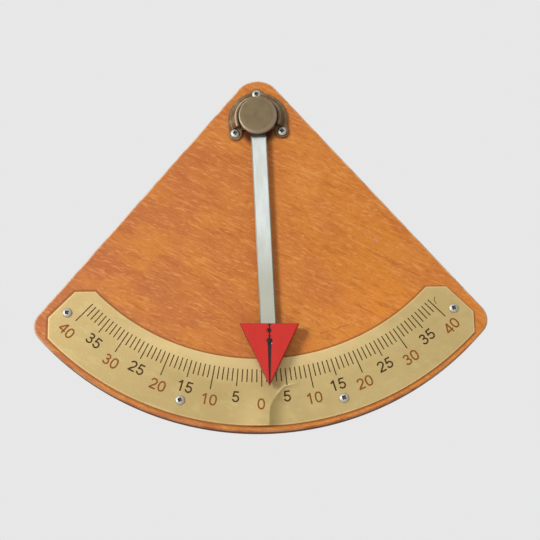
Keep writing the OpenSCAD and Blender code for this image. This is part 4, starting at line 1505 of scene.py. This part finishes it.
def studio_world():
    """Even light, and a pale backdrop; metal sees it glow a little more on the left and above."""
    world = bpy.data.worlds.new("studio")
    world.use_nodes = True
    bpy.context.scene.world = world
    tree = world.node_tree
    tree.nodes.clear()
    rays = add_node(tree, "ShaderNodeLightPath").outputs
    towards = add_node(tree, "ShaderNodeTexCoord").outputs["Generated"]
    towards = add_node(tree, "ShaderNodeSeparateXYZ", {0: towards}).outputs
    glow = sums(tree, "SUBTRACT", 1.0, sums(tree, "MULTIPLY", towards["X"], side_glow))
    glow = sums(tree, "ADD", glow, sums(tree, "MULTIPLY", towards["Z"], top_glow))
    glow = sums(tree, "MULTIPLY", glow, backdrop_tone)
    tone = add_node(tree, "ShaderNodeMix", {0: rays["Is Camera Ray"], 2: glow, 3: backdrop_tone})
    light = add_node(tree, "ShaderNodeBackground", {"Color": (1, 1, 1, 1), "Strength": ambient})
    paper = add_node(tree, "ShaderNodeBackground", {"Strength": tone.outputs[0]})
    paper.inputs["Color"].default_value = (1, 1, 1, 1)
    seen = [rays[kind] for kind in ("Is Camera Ray", "Is Glossy Ray", "Is Transmission Ray")]
    feeds = {0: sums(tree, "MAXIMUM", *seen), 1: light.outputs[0], 2: paper.outputs[0]}
    mix = add_node(tree, "ShaderNodeMixShader", feeds)
    add_node(tree, "ShaderNodeOutputWorld", {"Surface": mix.outputs[0]})


def studio_floor():
    """A pale round floor that fades into the backdrop and can be seen through from below."""
    bm = bmesh.new()
    bmesh.ops.create_circle(bm, cap_ends=True, segments=96, radius=4.0)
    for vert in bm.verts:
        vert.co.z = floor_z
    bm.faces.ensure_lookup_table()
    if bm.faces[0].normal.z < 0:
        bm.faces[0].normal_flip()
    mesh = bpy.data.meshes.new("floor")
    bm.to_mesh(mesh)
    bm.free()
    floor = put_in_scene("floor", mesh)
    finish, tree, shader = new_finish(
        "pale_floor", (0.8, 0.8, 0.8, 1.0), 0.9, Specular_IOR_Level=0.0
    )
    place = add_node(tree, "ShaderNodeTexCoord").outputs["Object"]
    flat = add_node(tree, "ShaderNodeVectorMath", {0: place, 1: (1, 1, 0)}, operation="MULTIPLY")
    far = add_node(tree, "ShaderNodeVectorMath", {0: flat.outputs[0]}, operation="LENGTH")
    fade = ramp(tree, far.outputs["Value"], 0.5, 1.9)
    behind = add_node(tree, "ShaderNodeNewGeometry").outputs["Backfacing"]
    hidden = sums(tree, "MAXIMUM", fade, behind)
    rays = add_node(tree, "ShaderNodeLightPath").outputs
    seen = sums(tree, "MAXIMUM", rays["Is Camera Ray"], rays["Is Glossy Ray"])
    lift = add_node(tree, "ShaderNodeEmission", {1: sums(tree, "MULTIPLY", seen, floor_glow)})
    paper = add_node(tree, "ShaderNodeAddShader", {0: shader.outputs[0], 1: lift.outputs[0]})
    clear = add_node(tree, "ShaderNodeBsdfTransparent")
    feeds = {0: hidden, 1: paper.outputs[0], 2: clear.outputs[0]}
    mix = add_node(tree, "ShaderNodeMixShader", feeds)
    tree.links.new(mix.outputs[0], tree.nodes["Material Output"].inputs["Surface"])
    mesh.materials.append(finish)


def photo_camera():
    """An 80 mm lens on a sensor 36 mm wide, looking up at the board."""
    lens = bpy.data.cameras.new("camera")
    lens.lens = 80.0
    lens.sensor_width = 36.0
    lens.sensor_fit = "AUTO"
    camera = put_in_scene("camera", lens)
    right = Vector((0.99983, -0.0110, -0.01501))
    up = Vector((0.01174, -0.25306, 0.96737))
    back = Vector((-0.01444, -0.96738, -0.25289))
    turn = Matrix((right, up, back)).transposed().to_4x4()
    camera.matrix_world = Matrix.Translation((-0.00566, -0.9393, -0.3069)) @ turn
    bpy.context.scene.camera = camera


studio_world()
studio_floor()
area_lamp("key", (-1.55, -2.07, 0.21), key_watts, 0.76, lamp_spread)
area_lamp("fill", (1.0, 1.9, 0.9), fill_watts, 2.4, math.pi)
photo_camera()
bpy.context.scene.view_settings.view_transform = "Standard"
